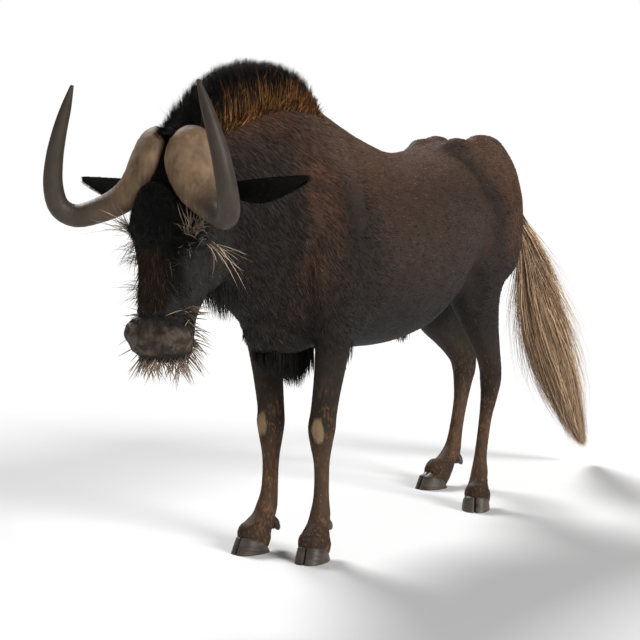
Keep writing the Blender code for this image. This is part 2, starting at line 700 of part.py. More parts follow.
def hanging_locks(chance, tree, stations, spread):
    """Flat locks that hang in overlapping rows: each station is the root's y, the tip's y and z."""
    made = []
    for k, (y, tip_y, tip_z) in enumerate(stations):
        for aside in spread:
            skin = tree.ray_cast(Vector((aside, y, 0.40)), Vector((0, 0, 1)))[0]
            drop = chance.uniform(0.88, 1.0)
            tip = (aside * 0.75 + chance.uniform(-0.003, 0.003), tip_y, skin.z + (tip_z - skin.z) * drop)
            root = (aside, y, skin.z + 0.020)
            bulge = (aside * 0.10, -0.005, 0.0)
            facing = (aside * 8, -1.0 + 0.2 * (k % 3), 0.1)
            made.append(lock_form("hanging_lock", swept(root, tip, bulge, 3), HANGING_LOCK, 0.0045, facing))
    return made


def brush_locks(chance, tree):
    """The brush on the bridge of the nose: overlapping locks that run down and stand off at the tips."""
    made = []
    for k, z in enumerate(np.linspace(BRUSH_TOP, BRUSH_FOOT, BRUSH_ROWS)):
        for aside in np.linspace(-1, 1, 4 if k % 2 else 3):
            x = aside * np.interp(z, (BRUSH_FOOT, BRUSH_TOP), (0.042, 0.034))
            skin = tree.ray_cast(Vector((x, -1.2, z)), Vector((0, 1, 0)))[0]
            length = chance.uniform(0.036, 0.046)
            root = skin + Vector((0, 0.010, 0.006))
            tip = skin + Vector((aside * 0.022, -0.017 - 0.004 * chance.random(), -length))
            tip.z = max(tip.z, BRUSH_LOWEST)
            bulge = (aside * 0.003, -0.004, 0.0)
            facing = (aside * 0.5, -1, 0.25)
            path = swept(root, tip, bulge, 3)
            made.append(lock_form("brush_lock", path, 0.0105, 0.004, facing))
    for side in (-1, 1):
        for z in BRUSH_WISPS:
            skin = tree.ray_cast(Vector((side * 0.4, -0.905, z)), Vector((-side, 0, 0)))[0]
            root = skin + Vector((-side * 0.012, 0, 0))
            tip = skin + Vector((side * chance.uniform(0.030, 0.042), -0.028, -0.022))
            made.append(lock_form("wisp", swept(root, tip, (0, 0, 0.004), 3), 0.006, 0.003, (0, -1, 0.3)))
    return made


def face_bristles(chance, tree):
    """Stiff bristles round the lips and chin, above the eyes and below them."""
    made = []
    for z, count, width in BRISTLE_ROWS:
        for angle in np.linspace(-width, width, count):
            angle = math.radians(angle + chance.uniform(-4, 4))
            out = Vector((math.sin(angle), -math.cos(angle), 0))
            middle = Vector((0, -0.890, z + chance.uniform(-0.004, 0.004)))
            skin = tree.ray_cast(middle + out * 0.3, -out)[0]
            heading = out + Vector((0, 0, -1)) * np.interp(z, (0.545, 0.625), (1.05, 0.20))
            length = chance.uniform(*BRISTLE_LENGTH) * (0.75 if abs(angle) < 0.6 else 1.0)
            made.append(bristle_form("bristle", skin - out * 0.010, heading, length, 0.12))
    for x, y in CHIN_BRISTLES:
        skin = tree.ray_cast(Vector((x, y, 0.40)), Vector((0, 0, 1)))[0]
        heading = Vector((x * 9, 0.02, -1))
        root = skin - heading.normalized() * 0.010
        made.append(bristle_form("bristle", root, heading, chance.uniform(*BRISTLE_LENGTH), 0.05))
    for side in (-1, 1):
        for x, z, out, up in EYE_BRISTLES:
            skin = tree.ray_cast(Vector((side * x, -1.2, z)), Vector((0, 1, 0)))[0]
            heading = Vector((side * out, -0.75, up))
            root = skin + Vector((0, 0.008, 0))
            made.append(bristle_form("brow_bristle", root, heading, chance.uniform(0.040, 0.055), 0.15))
    return made


def tail_locks(chance):
    """Long locks that leave the core at many heights and run down inside the outline of the tail."""
    made = []
    table = np.array(TAIL)
    along = np.gradient(table[:, :3], axis=0)
    for k in range(TAIL_LOCKS):
        angle = 2.399963 * k
        start = TAIL_HAIR_FROM + 0.35 + 4.6 * (k / TAIL_LOCKS) ** 1.2
        end = min(11.0, start + chance.uniform(3.6, 5.4))
        path = []
        for i in range(4):
            t = i / 3
            row = start + (end - start) * t
            at = [np.interp(row, np.arange(len(table)), table[:, c]) for c in range(5)]
            run = Vector([np.interp(row, np.arange(len(table)), along[:, c]) for c in range(3)])
            run.normalize()
            across = (Vector((1, 0, 0)) - run * run.x).normalized()
            behind = run.cross(across)
            share = np.interp(t, (0.0, 0.25, 0.7, 1.0), (0.22, 0.66, 0.86, 0.97))
            swing = angle + 0.25 * math.sin(3 * t + k)
            aside = across * at[3] * share * math.cos(swing) + behind * at[4] * share * math.sin(swing)
            path.append(Vector(at[:3]) + aside)
        facing = across * math.cos(angle) + behind * math.sin(angle)
        made.append(lock_form("tail_lock", path, TAIL_LOCK, 0.007, facing))
    return made


def body_of(obj):
    bm = bmesh.new()
    bm.from_mesh(obj.data)
    return bm


def grown(obj, distance):
    """A copy of a closed form with every face moved outwards by the distance."""
    bm = body_of(obj)
    bm.normal_update()
    shift = [v.normal * distance * min(2.5, v.calc_shell_factor()) for v in bm.verts]
    for vertex, step in zip(bm.verts, shift):
        vertex.co += step
    mesh = bpy.data.meshes.new(obj.name + "_grown")
    bm.to_mesh(mesh)
    bm.free()
    return new_object(mesh.name, mesh)


def hull(name, points):
    """The convex solid over a few corner points."""
    bm = bmesh.new()
    for point in points:
        bm.verts.new(point)
    made = bmesh.ops.convex_hull(bm, input=bm.verts)
    inside = made["geom_interior"] + made["geom_unused"]
    spare = {item for item in inside if isinstance(item, bmesh.types.BMVert)}
    bmesh.ops.delete(bm, geom=list(spare), context="VERTS")
    bmesh.ops.recalc_face_normals(bm, faces=bm.faces)
    mesh = bpy.data.meshes.new(name)
    bm.to_mesh(mesh)
    bm.free()
    return new_object(name, mesh)


def combine(obj, other, operation, solver="EXACT"):
    """A Boolean with one other object, which is used up."""
    cut = obj.modifiers.new(operation.lower(), "BOOLEAN")
    cut.operation = operation
    cut.solver = solver
    cut.object = other
    apply_modifiers(obj)
    bpy.data.objects.remove(other, do_unlink=True)
    return obj


def merge_all(obj, others, solver="MANIFOLD"):
    """One union with a whole collection of closed forms, which are used up."""
    pieces = bpy.data.collections.new(obj.name + "_pieces")
    for other in others:
        pieces.objects.link(other)
    union = obj.modifiers.new("union", "BOOLEAN")
    union.operation = "UNION"
    union.solver = solver
    union.operand_type = "COLLECTION"
    union.collection = pieces
    apply_modifiers(obj)
    for other in others:
        bpy.data.objects.remove(other, do_unlink=True)
    bpy.data.collections.remove(pieces)
    return obj


def keep_largest(obj):
    """Drops every closed surface but the one with the most volume, and welds what is left."""
    bm = body_of(obj)
    bmesh.ops.remove_doubles(bm, verts=bm.verts, dist=0.000002)
    bmesh.ops.triangulate(bm, faces=bm.faces)
    left = set(bm.faces)
    shells = []
    while left:
        shell = [left.pop()]
        for face in shell:
            for edge in face.edges:
                for near in edge.link_faces:
                    if near in left:
                        left.remove(near)
                        shell.append(near)
        volume = sum(f.calc_area() * f.normal.dot(f.calc_center_median()) / 3 for f in shell)
        shells.append((volume, len(shells), shell))
    shells.sort(key=lambda item: item[0])
    for _, _, shell in shells[:-1]:
        bmesh.ops.delete(bm, geom=shell, context="FACES")
    loose = [v for v in bm.verts if not v.link_faces]
    bmesh.ops.delete(bm, geom=loose, context="VERTS")
    bm.to_mesh(obj.data)
    bm.free()
    return obj


def copy_of(obj, name):
    made = obj.copy()
    made.data = obj.data.copy()
    made.name = name
    bpy.context.scene.collection.objects.link(made)
    return made


def part_off(body, name, volume):
    """Takes the share of the body inside the volume as a piece of its own, a thin gap away."""
    piece = copy_of(body, name)
    wider = grown(volume, GAP)
    combine(piece, volume, "INTERSECT")
    combine(body, wider, "DIFFERENCE")
    keep_largest(body)
    return keep_largest(piece)


def carve(obj, part, gap=GAP):
    """Makes room in the object for a part that sinks into it."""
    return combine(obj, grown(part, gap), "DIFFERENCE")


def slab(name, corners, low_x, high_x):
    """A straight-sided solid: a polygon in y and z, drawn out along x."""
    return hull(name, [(x, y, z) for y, z in corners for x in (low_x, high_x)])


def fore_volume(side):
    """A fore leg's share of the body: below a plane that rises outwards."""
    edge = ((0.030, -0.05), (0.030, 0.430), (0.046, 0.498), (0.260, 0.700), (0.260, -0.05))
    return hull("fore_volume", [(side * x, y, z) for x, z in edge for y in (-0.640, -0.235)])


def hind_volume(side):
    """A hind leg's share of the body: below a plane that rises outwards and back."""
    points = []
    for x, rise in ((0.006, 0.565), (0.260, 0.665)):
        points += [(side * x, 0.286, -0.05), (side * x, 1.10, -0.05)]
        points += [(side * x, 0.286, rise - 0.004), (side * x, 1.10, rise + 0.226)]
    return hull("hind_volume", points)


def lower_volume(name, centre, run, below):
    """Everything of one limb below a plane square to its middle line."""
    run = Vector(run).normalized()
    across = Vector((1, 0, 0))
    ahead = across.cross(run)
    points = []
    for u in (-0.09, 0.09):
        for v in (-0.13, 0.13):
            points.append(Vector(centre) + across * u + ahead * v)
            points.append(Vector(centre) + across * u + ahead * v * 2.2 + Vector((0, 0, -below)))
    return hull(name, points)


MATERIALS = {
    "dark coat": ((0.045, 0.032, 0.026), 0.62),
    "leg coat": ((0.075, 0.050, 0.034), 0.65),
    "face coat": ((0.020, 0.017, 0.016), 0.62),
    "muzzle skin": ((0.110, 0.085, 0.068), 0.50),
    "horn": ((0.200, 0.150, 0.105), 0.45),
    "hoof": ((0.070, 0.058, 0.050), 0.50),
    "eye": ((0.015, 0.010, 0.008), 0.12),
    "ear coat": ((0.018, 0.015, 0.013), 0.65),
    "tail hair": ((0.520, 0.400, 0.280), 0.55),
}


def finish(obj, name, material, collection):
    """Names a node, gives it its material and moves it so that the whole animal is centred."""
    keep_largest(obj)
    obj.name = name
    obj.data.name = name
    obj.data.transform(Matrix.Translation((0, -CENTRE_Y, 0)))
    colour, roughness = MATERIALS[material]
    made = bpy.data.materials.get(material) or bpy.data.materials.new(material)
    made.use_nodes = True
    shader = made.node_tree.nodes["Principled BSDF"]
    shader.inputs["Base Color"].default_value = (*colour, 1.0)
    shader.inputs["Roughness"].default_value = roughness
    made.diffuse_color = (*colour, 1.0)
    obj.data.materials.clear()
    obj.data.materials.append(made)
    for owner in list(obj.users_collection):
        owner.objects.unlink(obj)
    collection.objects.link(obj)
    for polygon in obj.data.polygons:
        polygon.use_smooth = True
    obj.data.set_sharp_from_angle(angle=math.radians(35))
    return obj


def main():
    clear_scene()
    wildebeest = bpy.data.collections.new("wildebeest")
    bpy.context.scene.collection.children.link(wildebeest)
    body = fused_body()
    thin_out(body)
    chance = random.Random(7)
    tree = BVHTree.FromObject(body, bpy.context.evaluated_depsgraph_get())
    coat = [mane_core("mane_core")]
    coat += mane_locks(chance)
    for stations, spread in (
        (NECK_LOCKS, NECK_SPREAD),
        (CHEST_LOCKS, CHEST_SPREAD),
        (THROAT_LOCKS, THROAT_SPREAD),
        (ELBOW_LOCKS, ELBOW_SPREAD),
        (BELLY_LOCKS, BELLY_SPREAD),
    ):
        coat += hanging_locks(chance, tree, stations, spread)
    coat += brush_locks(chance, tree)
    coat += face_bristles(chance, tree)
    combine(body, lip_groove(tree), "DIFFERENCE", "MANIFOLD")
    for nostril in both_sides("nostril_cut", NOSTRIL, NOSTRIL_RADII, (0.9, 0.0, 0.0)):
        combine(body, nostril, "DIFFERENCE", "MANIFOLD")
    merge_all(body, coat)
    keep_largest(body)

    nodes = []
    feet = (
        ("fore", "left", 1, FORE_LIMB, None, LEFT_FORE_SPLAY),
        ("fore", "right", -1, FORE_LIMB, RIGHT_FORE_STEP, RIGHT_FORE_SPLAY),
        ("hind", "left", 1, HIND_LIMB, None, HIND_SPLAY),
        ("hind", "right", -1, HIND_LIMB, RIGHT_HIND_STEP, HIND_SPLAY),
    )
    for pair, hand, side, limb, steps, splay in feet:
        volume = fore_volume(side) if pair == "fore" else hind_volume(side)
        upper = part_off(body, f"{pair}_{hand}_upper", volume)
        rows = stepped(limb, steps) if steps else limb
        joint = 10
        x, y, z = rows[joint][:3]
        run = Vector(rows[joint + 1][:3]) - Vector(rows[joint - 1][:3])
        volume = lower_volume("below_joint", (side * x, y, z), (side * run.x, run.y, run.z), z + 0.05)
        lower = part_off(upper, f"{pair}_{hand}_lower", volume)
        centre, toe = foot_frame(limb, steps, side, splay)
        sideways = Vector((math.cos(splay), side * math.sin(splay), 0.0)) * side
        fetlock = rows[15][:3]
        for label, outward in (("outer", sideways), ("inner", -sideways)):
            claw = claw_form("claw", centre, toe, outward)
            carve(lower, claw)
            nodes.append((claw, f"{pair}_{hand}_hoof_{label}", "hoof"))
            drop = RIGHT_FORE_DROP if (pair, hand) == ("fore", "right") else DEWCLAW_DROP
            place = Vector((side * fetlock[0], fetlock[1], fetlock[2] - drop))
            place += outward * 0.017 - toe * DEWCLAW_BACK
            dewclaw = dewclaw_form("dewclaw", place, toe, outward)
            carve(lower, dewclaw)
            nodes.append((dewclaw, f"{pair}_{hand}_dewclaw_{label}", "hoof"))
        nodes.append((upper, f"{pair}_{hand}_leg_upper", "dark coat"))
        nodes.append((lower, f"{pair}_{hand}_leg_lower", "leg coat"))

    front = slab("front", [(-1.2, 1.4), (-1.2, 0.2), (-0.700, 0.2), (-0.170, 1.4)], -0.4, 0.4)
    neck = part_off(body, "neck", front)
    skull = slab("skull", [(-1.2, 1.4), (-1.2, 0.2), (-0.645, 0.2), (-0.840, 1.4)], -0.4, 0.4)
    head = part_off(neck, "head", skull)
    back = slab("back", [(0.300, 1.4), (0.300, 0.2), (1.2, 0.2), (1.2, 1.4)], -0.4, 0.4)
    rump = part_off(body, "rump", back)
    for side, hand in ((1, "left"), (-1, "right")):
        for form, label, material in (
            (horn_form, "horn", "horn"),
            (ear_form, "ear", "ear coat"),
            (eye_form, "eye", "eye"),
        ):
            piece = form(label, side)
            carve(head, piece)
            if label == "ear":
                carve(neck, piece)
            nodes.append((piece, f"{label}_{hand}", material))
        middle = (side * LIDS[0], LIDS[1], LIDS[2])
        opening = swelling("lids", middle, LID_RADII, (0, 0, side * 0.35))
        combine(head, opening, "DIFFERENCE")
    chin = slab("chin", CHIN_OUTLINE, -0.2, 0.2)
    jaw = part_off(head, "lower_jaw", chin)
    snout = slab("snout", SNOUT_OUTLINE, -0.2, 0.2)
    muzzle = part_off(head, "muzzle", snout)

    tail = tail_form("tail")
    carve(rump, tail)
    rows = smooth_rows(TAIL, 5)
    turn = round(TAIL_HAIR_FROM * 5)
    middle = Vector(rows[turn][1:3])
    run = Vector(rows[turn + 1][1:3]) - Vector(rows[turn - 1][1:3])
    run.normalize()
    aside = Vector((-run.y, run.x)) * 0.22
    far = middle + run * 1.3
    tuft = slab("tuft", [middle + aside, middle - aside, far - aside * 3, far + aside * 3], -0.3, 0.4)
    hair = part_off(tail, "tail_hair", tuft)
    merge_all(hair, tail_locks(chance))
    nodes += [(body, "torso", "dark coat"), (rump, "rump", "dark coat"), (neck, "neck", "dark coat")]
    nodes += [(head, "head", "face coat"), (muzzle, "muzzle", "muzzle skin")]
    nodes += [(jaw, "lower_jaw", "muzzle skin")]
    nodes += [(tail, "tail_dock", "dark coat"), (hair, "tail_hair", "tail hair")]
    total = 0
    for obj, name, material in nodes:
        finish(obj, name, material, wildebeest)
        total += len(obj.data.polygons)
    corners = [v.co for obj, _, _ in nodes for v in obj.data.vertices]
    low = [min(c[i] for c in corners) for i in range(3)]
    high = [max(c[i] for c in corners) for i in range(3)]
    size = [round(1000 * (high[i] - low[i])) for i in range(3)]
    print(len(nodes), "nodes", total, "triangles", size, "mm")


main()
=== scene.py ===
# A black wildebeest bull standing on a pale studio floor. Metres, +Z up, the head looks along -Y.
import math

import bmesh
import bpy
import numpy as np
from mathutils import Matrix, Vector
from mathutils.bvhtree import BVHTree


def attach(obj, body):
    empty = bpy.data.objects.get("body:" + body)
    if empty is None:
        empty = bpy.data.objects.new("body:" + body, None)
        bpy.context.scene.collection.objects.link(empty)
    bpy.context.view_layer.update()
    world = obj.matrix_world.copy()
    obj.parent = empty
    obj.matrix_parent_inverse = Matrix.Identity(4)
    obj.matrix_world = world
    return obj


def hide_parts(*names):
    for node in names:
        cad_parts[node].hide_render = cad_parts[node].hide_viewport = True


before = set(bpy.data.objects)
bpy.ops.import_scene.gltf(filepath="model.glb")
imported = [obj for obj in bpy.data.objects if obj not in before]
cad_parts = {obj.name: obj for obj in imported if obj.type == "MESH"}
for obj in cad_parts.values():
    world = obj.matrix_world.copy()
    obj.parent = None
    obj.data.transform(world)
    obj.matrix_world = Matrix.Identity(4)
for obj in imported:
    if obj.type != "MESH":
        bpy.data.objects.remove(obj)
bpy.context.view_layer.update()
scene = bpy.context.scene
scene.view_settings.view_transform = "Standard"
scene.view_settings.look = "None"
centreY = 0.1364  # the tables below are taken from a point this far ahead of the frame's origin

# camera, floor and lights
camera = {
    "azimuth": 32.7,  # degrees
    "pitch": 4.63,
    "place": (2.218, -3.698 - centreY, 0.915),
    "focal": 90.0,  # mm
    "sensor": 36.0,
}


def placeCamera(s):
    # the view direction is the -Y axis turned by the azimuth and then tipped down by the pitch
    data = bpy.data.cameras.new("camera")
    data.lens = s["focal"]
    data.sensor_width = s["sensor"]
    data.dof.use_dof = False
    obj = bpy.data.objects.new("camera", data)
    scene.collection.objects.link(obj)
    obj.location = s["place"]
    obj.rotation_euler = (math.radians(90 - s["pitch"]), 0, math.radians(s["azimuth"]))
    scene.camera = obj


placeCamera(camera)

studio = {
    "floorSize": 80.0,
    "floorColour": (0.82, 0.82, 0.82),
    "roughness": 0.9,
    "specular": 0.1,
    "ambient": 0.21,
    "backdrop": 1.0,
}


def buildStudio(s):
    bpy.ops.mesh.primitive_plane_add(size=s["floorSize"], location=(0, 0, 0))
    floor = bpy.context.object
    floor.name = "studio_floor"
    mat = bpy.data.materials.new("floor")
    mat.use_nodes = True
    shader = mat.node_tree.nodes["Principled BSDF"]
    shader.inputs["Base Color"].default_value = (*s["floorColour"], 1)
    shader.inputs["Roughness"].default_value = s["roughness"]
    shader.inputs["Specular IOR Level"].default_value = s["specular"]
    floor.data.materials.append(mat)
    world = bpy.data.worlds.new("studio")
    world.use_nodes = True
    tree = world.node_tree
    background = tree.nodes["Background"]
    background.inputs["Color"].default_value = (1, 1, 1, 1)
    # the backdrop is pure white to the camera and dimmer as a light
    path = tree.nodes.new("ShaderNodeLightPath")
    span = tree.nodes.new("ShaderNodeMapRange")
    span.inputs["To Min"].default_value = s["ambient"]
    span.inputs["To Max"].default_value = s["backdrop"]
    tree.links.new(path.outputs["Is Camera Ray"], span.inputs["Value"])
    tree.links.new(span.outputs["Result"], background.inputs["Strength"])
    scene.world = world


buildStudio(studio)

# name: the way the light travels over the floor, its height in degrees, strength, softness in degrees
suns = {
    "back_left": ((0.862, -0.507), 44, 3.00, 19),
    "front_right": ((-0.975, 0.222), 28, 2.55, 20),
}


def addSun(name, way, height, strength, soft):
    data = bpy.data.lights.new(name, "SUN")
    data.energy = strength
    data.angle = math.radians(soft)
    lamp = bpy.data.objects.new(name, data)
    scene.collection.objects.link(lamp)
    rise = math.radians(height)
    travel = Vector((way[0] * math.cos(rise), way[1] * math.cos(rise), -math.sin(rise)))
    lamp.rotation_euler = travel.to_track_quat("-Z", "Y").to_euler()


for name, sun in suns.items():
    addSun(name, *sun)
print("camera, floor and lights")

# the animal's stations, for its left side where it has two
# Trunk: y, top z, bottom z, half width, z of the widest line, squareness above and below
trunk = [
    (-0.880, 1.005, 0.820, 0.050, 0.92, 2.0, 2.0),
    (-0.820, 1.035, 0.765, 0.078, 0.91, 2.0, 2.0),
    (-0.740, 1.078, 0.715, 0.092, 0.90, 1.8, 2.0),
    (-0.660, 1.112, 0.665, 0.106, 0.88, 1.7, 2.0),
    (-0.570, 1.138, 0.605, 0.136, 0.84, 1.6, 2.0),
    (-0.470, 1.152, 0.548, 0.166, 0.80, 1.5, 2.0),
    (-0.370, 1.148, 0.520, 0.186, 0.78, 1.45, 2.1),
    (-0.260, 1.120, 0.508, 0.198, 0.77, 1.5, 2.1),
    (-0.120, 1.066, 0.500, 0.208, 0.76, 1.65, 2.1),
    (0.030, 1.026, 0.500, 0.213, 0.76, 1.9, 2.1),
    (0.180, 1.026, 0.525, 0.207, 0.78, 2.0, 2.1),
    (0.320, 1.048, 0.590, 0.184, 0.81, 2.0, 2.0),
    (0.450, 1.062, 0.660, 0.165, 0.84, 2.1, 2.0),
    (0.570, 1.056, 0.720, 0.150, 0.87, 2.2, 2.0),
    (0.670, 1.020, 0.770, 0.126, 0.88, 2.2, 2.0),
    (0.735, 0.962, 0.790, 0.086, 0.87, 2.1, 2.0),
    (0.762, 0.915, 0.820, 0.045, 0.87, 2.0, 2.0),
]
# Head: z, nose-side y, throat-side y, half width, y of the widest line, squareness of both sides
skull = [
    (1.046, -0.842, -0.780, 0.030, -0.81, 2.0, 2.0),
    (1.020, -0.868, -0.758, 0.056, -0.81, 2.1, 2.0),
    (0.985, -0.888, -0.740, 0.072, -0.81, 2.2, 2.0),
    (0.935, -0.905, -0.720, 0.082, -0.81, 2.3, 2.0),
    (0.885, -0.926, -0.705, 0.096, -0.82, 2.4, 2.0),
    (0.840, -0.938, -0.700, 0.103, -0.83, 2.5, 2.0),
    (0.795, -0.936, -0.700, 0.092, -0.83, 2.5, 2.0),
    (0.750, -0.936, -0.708, 0.076, -0.83, 2.6, 2.0),
    (0.710, -0.940, -0.730, 0.069, -0.84, 2.6, 2.0),
    (0.670, -0.942, -0.768, 0.064, -0.86, 2.6, 2.1),
    (0.635, -0.943, -0.802, 0.064, -0.88, 2.7, 2.2),
    (0.603, -0.945, -0.826, 0.071, -0.89, 2.8, 2.3),
    (0.575, -0.946, -0.838, 0.075, -0.892, 2.8, 2.3),
    (0.550, -0.938, -0.845, 0.071, -0.892, 2.6, 2.3),
    (0.533, -0.915, -0.862, 0.048, -0.890, 2.2, 2.2),
]
# Limbs: x, y, z of the middle line, half width, reach forwards, reach back
foreLimb = [
    (0.075, -0.345, 0.990, 0.040, 0.050, 0.050),
    (0.100, -0.375, 0.930, 0.052, 0.075, 0.075),
    (0.122, -0.400, 0.850, 0.060, 0.098, 0.100),
    (0.131, -0.408, 0.770, 0.062, 0.108, 0.110),
    (0.134, -0.392, 0.690, 0.058, 0.098, 0.104),
    (0.126, -0.375, 0.620, 0.052, 0.076, 0.085),
    (0.117, -0.366, 0.550, 0.045, 0.058, 0.060),
    (0.108, -0.364, 0.480, 0.039, 0.048, 0.046),
    (0.100, -0.367, 0.420, 0.035, 0.042, 0.040),
    (0.093, -0.370, 0.365, 0.034, 0.038, 0.036),
    (0.090, -0.374, 0.325, 0.0355, 0.040, 0.036),
    (0.088, -0.373, 0.285, 0.029, 0.034, 0.032),
    (0.087, -0.371, 0.240, 0.021, 0.026, 0.027),
    (0.086, -0.370, 0.190, 0.0195, 0.023, 0.026),
    (0.085, -0.371, 0.145, 0.021, 0.025, 0.028),
    (0.086, -0.376, 0.112, 0.026, 0.029, 0.032),
    (0.088, -0.388, 0.085, 0.029, 0.030, 0.031),
    (0.091, -0.401, 0.060, 0.036, 0.043, 0.034),
    (0.093, -0.409, 0.042, 0.042, 0.055, 0.038),
    (0.094, -0.412, 0.014, 0.037, 0.042, 0.034),
]
hindLimb = [
    (0.062, 0.415, 1.035, 0.035, 0.055, 0.075),
    (0.080, 0.460, 0.970, 0.068, 0.140, 0.175),
    (0.090, 0.480, 0.890, 0.086, 0.185, 0.212),
    (0.096, 0.470, 0.800, 0.091, 0.190, 0.210),
    (0.101, 0.435, 0.715, 0.086, 0.165, 0.172),
    (0.107, 0.420, 0.640, 0.073, 0.130, 0.115),
    (0.112, 0.432, 0.570, 0.057, 0.098, 0.090),
    (0.116, 0.455, 0.505, 0.045, 0.074, 0.072),
    (0.118, 0.478, 0.450, 0.037, 0.056, 0.060),
    (0.119, 0.494, 0.400, 0.034, 0.044, 0.056),
    (0.119, 0.497, 0.360, 0.033, 0.040, 0.044),
    (0.120, 0.486, 0.315, 0.027, 0.031, 0.034),
    (0.120, 0.466, 0.260, 0.021, 0.024, 0.028),
    (0.121, 0.444, 0.190, 0.0195, 0.022, 0.026),
    (0.122, 0.430, 0.140, 0.021, 0.025, 0.028),
    (0.125, 0.420, 0.105, 0.026, 0.029, 0.031),
    (0.129, 0.406, 0.080, 0.028, 0.030, 0.030),
    (0.132, 0.396, 0.058, 0.034, 0.041, 0.033),
    (0.135, 0.388, 0.042, 0.040, 0.053, 0.037),
    (0.137, 0.384, 0.014, 0.036, 0.041, 0.033),
]
# How the right limbs stand off from the left ones: z, inwards, back
rightForeStep = [
    (0.00, 0.006, 0.000),
    (0.11, 0.006, 0.004),
    (0.32, 0.012, 0.022),
    (0.60, 0.012, 0.018),
    (0.75, 0.0, 0.0),
]
rightHindStep = [
    (0.00, 0.010, 0.228),
    (0.03, 0.010, 0.238),
    (0.06, 0.010, 0.262),
    (0.105, 0.008, 0.283),
    (0.26, 0.012, 0.275),
    (0.385, 0.015, 0.255),
    (0.48, 0.012, 0.205),
    (0.55, 0.008, 0.150),
    (0.62, 0.0, 0.095),
    (0.70, 0.0, 0.050),
    (0.80, 0.0, 0.018),
    (0.93, 0.0, 0.0),
]
splay = {"foreLeft": math.radians(6), "foreRight": math.radians(15), "hind": math.radians(24)}
# name, left limb, its step, side, how far the toes turn outwards
limbs = (
    ("fore_left", foreLimb, None, 1, splay["foreLeft"]),
    ("fore_right", foreLimb, rightForeStep, -1, splay["foreRight"]),
    ("hind_left", hindLimb, None, 1, splay["hind"]),
    ("hind_right", hindLimb, rightHindStep, -1, splay["hind"]),
)
fetlock = 15  # the limb row at the fetlock
# Horn, ear and tail: x, y, z of the middle line, half the width or height, half the depth
hornPath = [
    (0.046, -0.836, 1.047, 0.028, 0.018),
    (0.055, -0.852, 1.028, 0.046, 0.028),
    (0.060, -0.866, 0.992, 0.056, 0.034),
    (0.069, -0.874, 0.955, 0.054, 0.036),
    (0.090, -0.882, 0.920, 0.046, 0.034),
    (0.124, -0.892, 0.891, 0.037, 0.031),
    (0.170, -0.915, 0.868, 0.030, 0.028),
    (0.210, -0.942, 0.858, 0.026, 0.026),
    (0.236, -0.966, 0.878, 0.0245, 0.0245),
    (0.241, -0.980, 0.925, 0.0225, 0.0225),
    (0.231, -0.986, 0.985, 0.020, 0.020),
    (0.213, -0.988, 1.045, 0.0165, 0.0165),
    (0.193, -0.988, 1.098, 0.012, 0.012),
    (0.174, -0.988, 1.147, 0.004, 0.004),
]
earPath = [
    (0.070, -0.770, 0.915, 0.010, 0.010),
    (0.105, -0.772, 0.916, 0.016, 0.014),
    (0.145, -0.778, 0.914, 0.023, 0.016),
    (0.185, -0.784, 0.914, 0.0265, 0.015),
    (0.225, -0.788, 0.919, 0.024, 0.012),
    (0.265, -0.790, 0.927, 0.018, 0.009),
    (0.300, -0.790, 0.936, 0.010, 0.006),
    (0.322, -0.790, 0.942, 0.003, 0.003),
]
tailPath = [
    (0.000, 0.715, 0.915, 0.026, 0.024),
    (0.004, 0.790, 0.892, 0.027, 0.024),
    (0.012, 0.870, 0.835, 0.030, 0.028),
    (0.022, 0.930, 0.765, 0.038, 0.036),
    (0.032, 0.965, 0.680, 0.056, 0.056),
    (0.040, 0.985, 0.580, 0.070, 0.074),
    (0.050, 1.015, 0.475, 0.074, 0.082),
    (0.058, 1.060, 0.375, 0.067, 0.078),
    (0.066, 1.122, 0.275, 0.050, 0.062),
    (0.074, 1.190, 0.170, 0.028, 0.038),
    (0.080, 1.245, 0.095, 0.012, 0.016),
    (0.083, 1.276, 0.055, 0.003, 0.003),
]
eye = {"centre": (0.080, -0.862, 0.809), "radius": 0.0185, "axis": (0.93, -0.36, 0.06)}
hand = {1: "left", -1: "right"}


# numbers and noise
def smoothRows(rows, steps):
    # Catmull-Rom: p(t) = half of (2b + (c-a)t + (2a-5b+4c-d)t^2 + (3b-a-3c+d)t^3) between b and c
    table = np.array(rows, float)
    padded = np.vstack([2 * table[0] - table[1], table, 2 * table[-1] - table[-2]])
    a, b, c, d = padded[:-3], padded[1:-2], padded[2:-1], padded[3:]
    t = np.linspace(0, 1, steps, endpoint=False)[None, :, None]
    a, b, c, d = (v[:, None, :] for v in (a, b, c, d))
    made = 0.5 * (2 * b + (c - a) * t + (2 * a - 5 * b + 4 * c - d) * t**2 + (3 * b - a - 3 * c + d) * t**3)
    return np.vstack([made.reshape(-1, table.shape[1]), table[-1]])


def unit(v):
    return v / np.maximum(np.linalg.norm(v, axis=-1, keepdims=True), 1e-9)


def ramp(x, low, high):
    # smoothstep from 0 at low to 1 at high
    t = np.clip((x - low) / (high - low), 0, 1)
    return t * t * (3 - 2 * t)


def hashed(cells, seed):
    # a fixed scramble of whole lattice cells into 0..1
    x, y, z = cells[..., 0], cells[..., 1], cells[..., 2]
    h = (x * 73856093) ^ (y * 19349663) ^ (z * 83492791) ^ (seed * 2654435761)
    h = (h ^ (h >> 13)) * 1274126177
    return ((h ^ (h >> 16)) & 0xFFFFFF) / float(0xFFFFFF)


def noise(points, scale, seed=1):
    # trilinear lattice noise, about 0 with range -1..1; scale is the cell size in metres, per axis
    p = points / np.asarray(scale, float)
    base = np.floor(p).astype(np.int64)
    f = p - base
    f = f * f * (3 - 2 * f)
    total = 0
    for corner in np.ndindex(2, 2, 2):
        x, y, z = (f[:, k] if far else 1 - f[:, k] for k, far in enumerate(corner))
        total = total + x * y * z * hashed(base + np.array(corner), seed)
    return total * 2 - 1


def eachRow(value, n):
    return np.repeat([value], n, axis=0)


def flipped(side):
    return np.array((side, 1, 1))


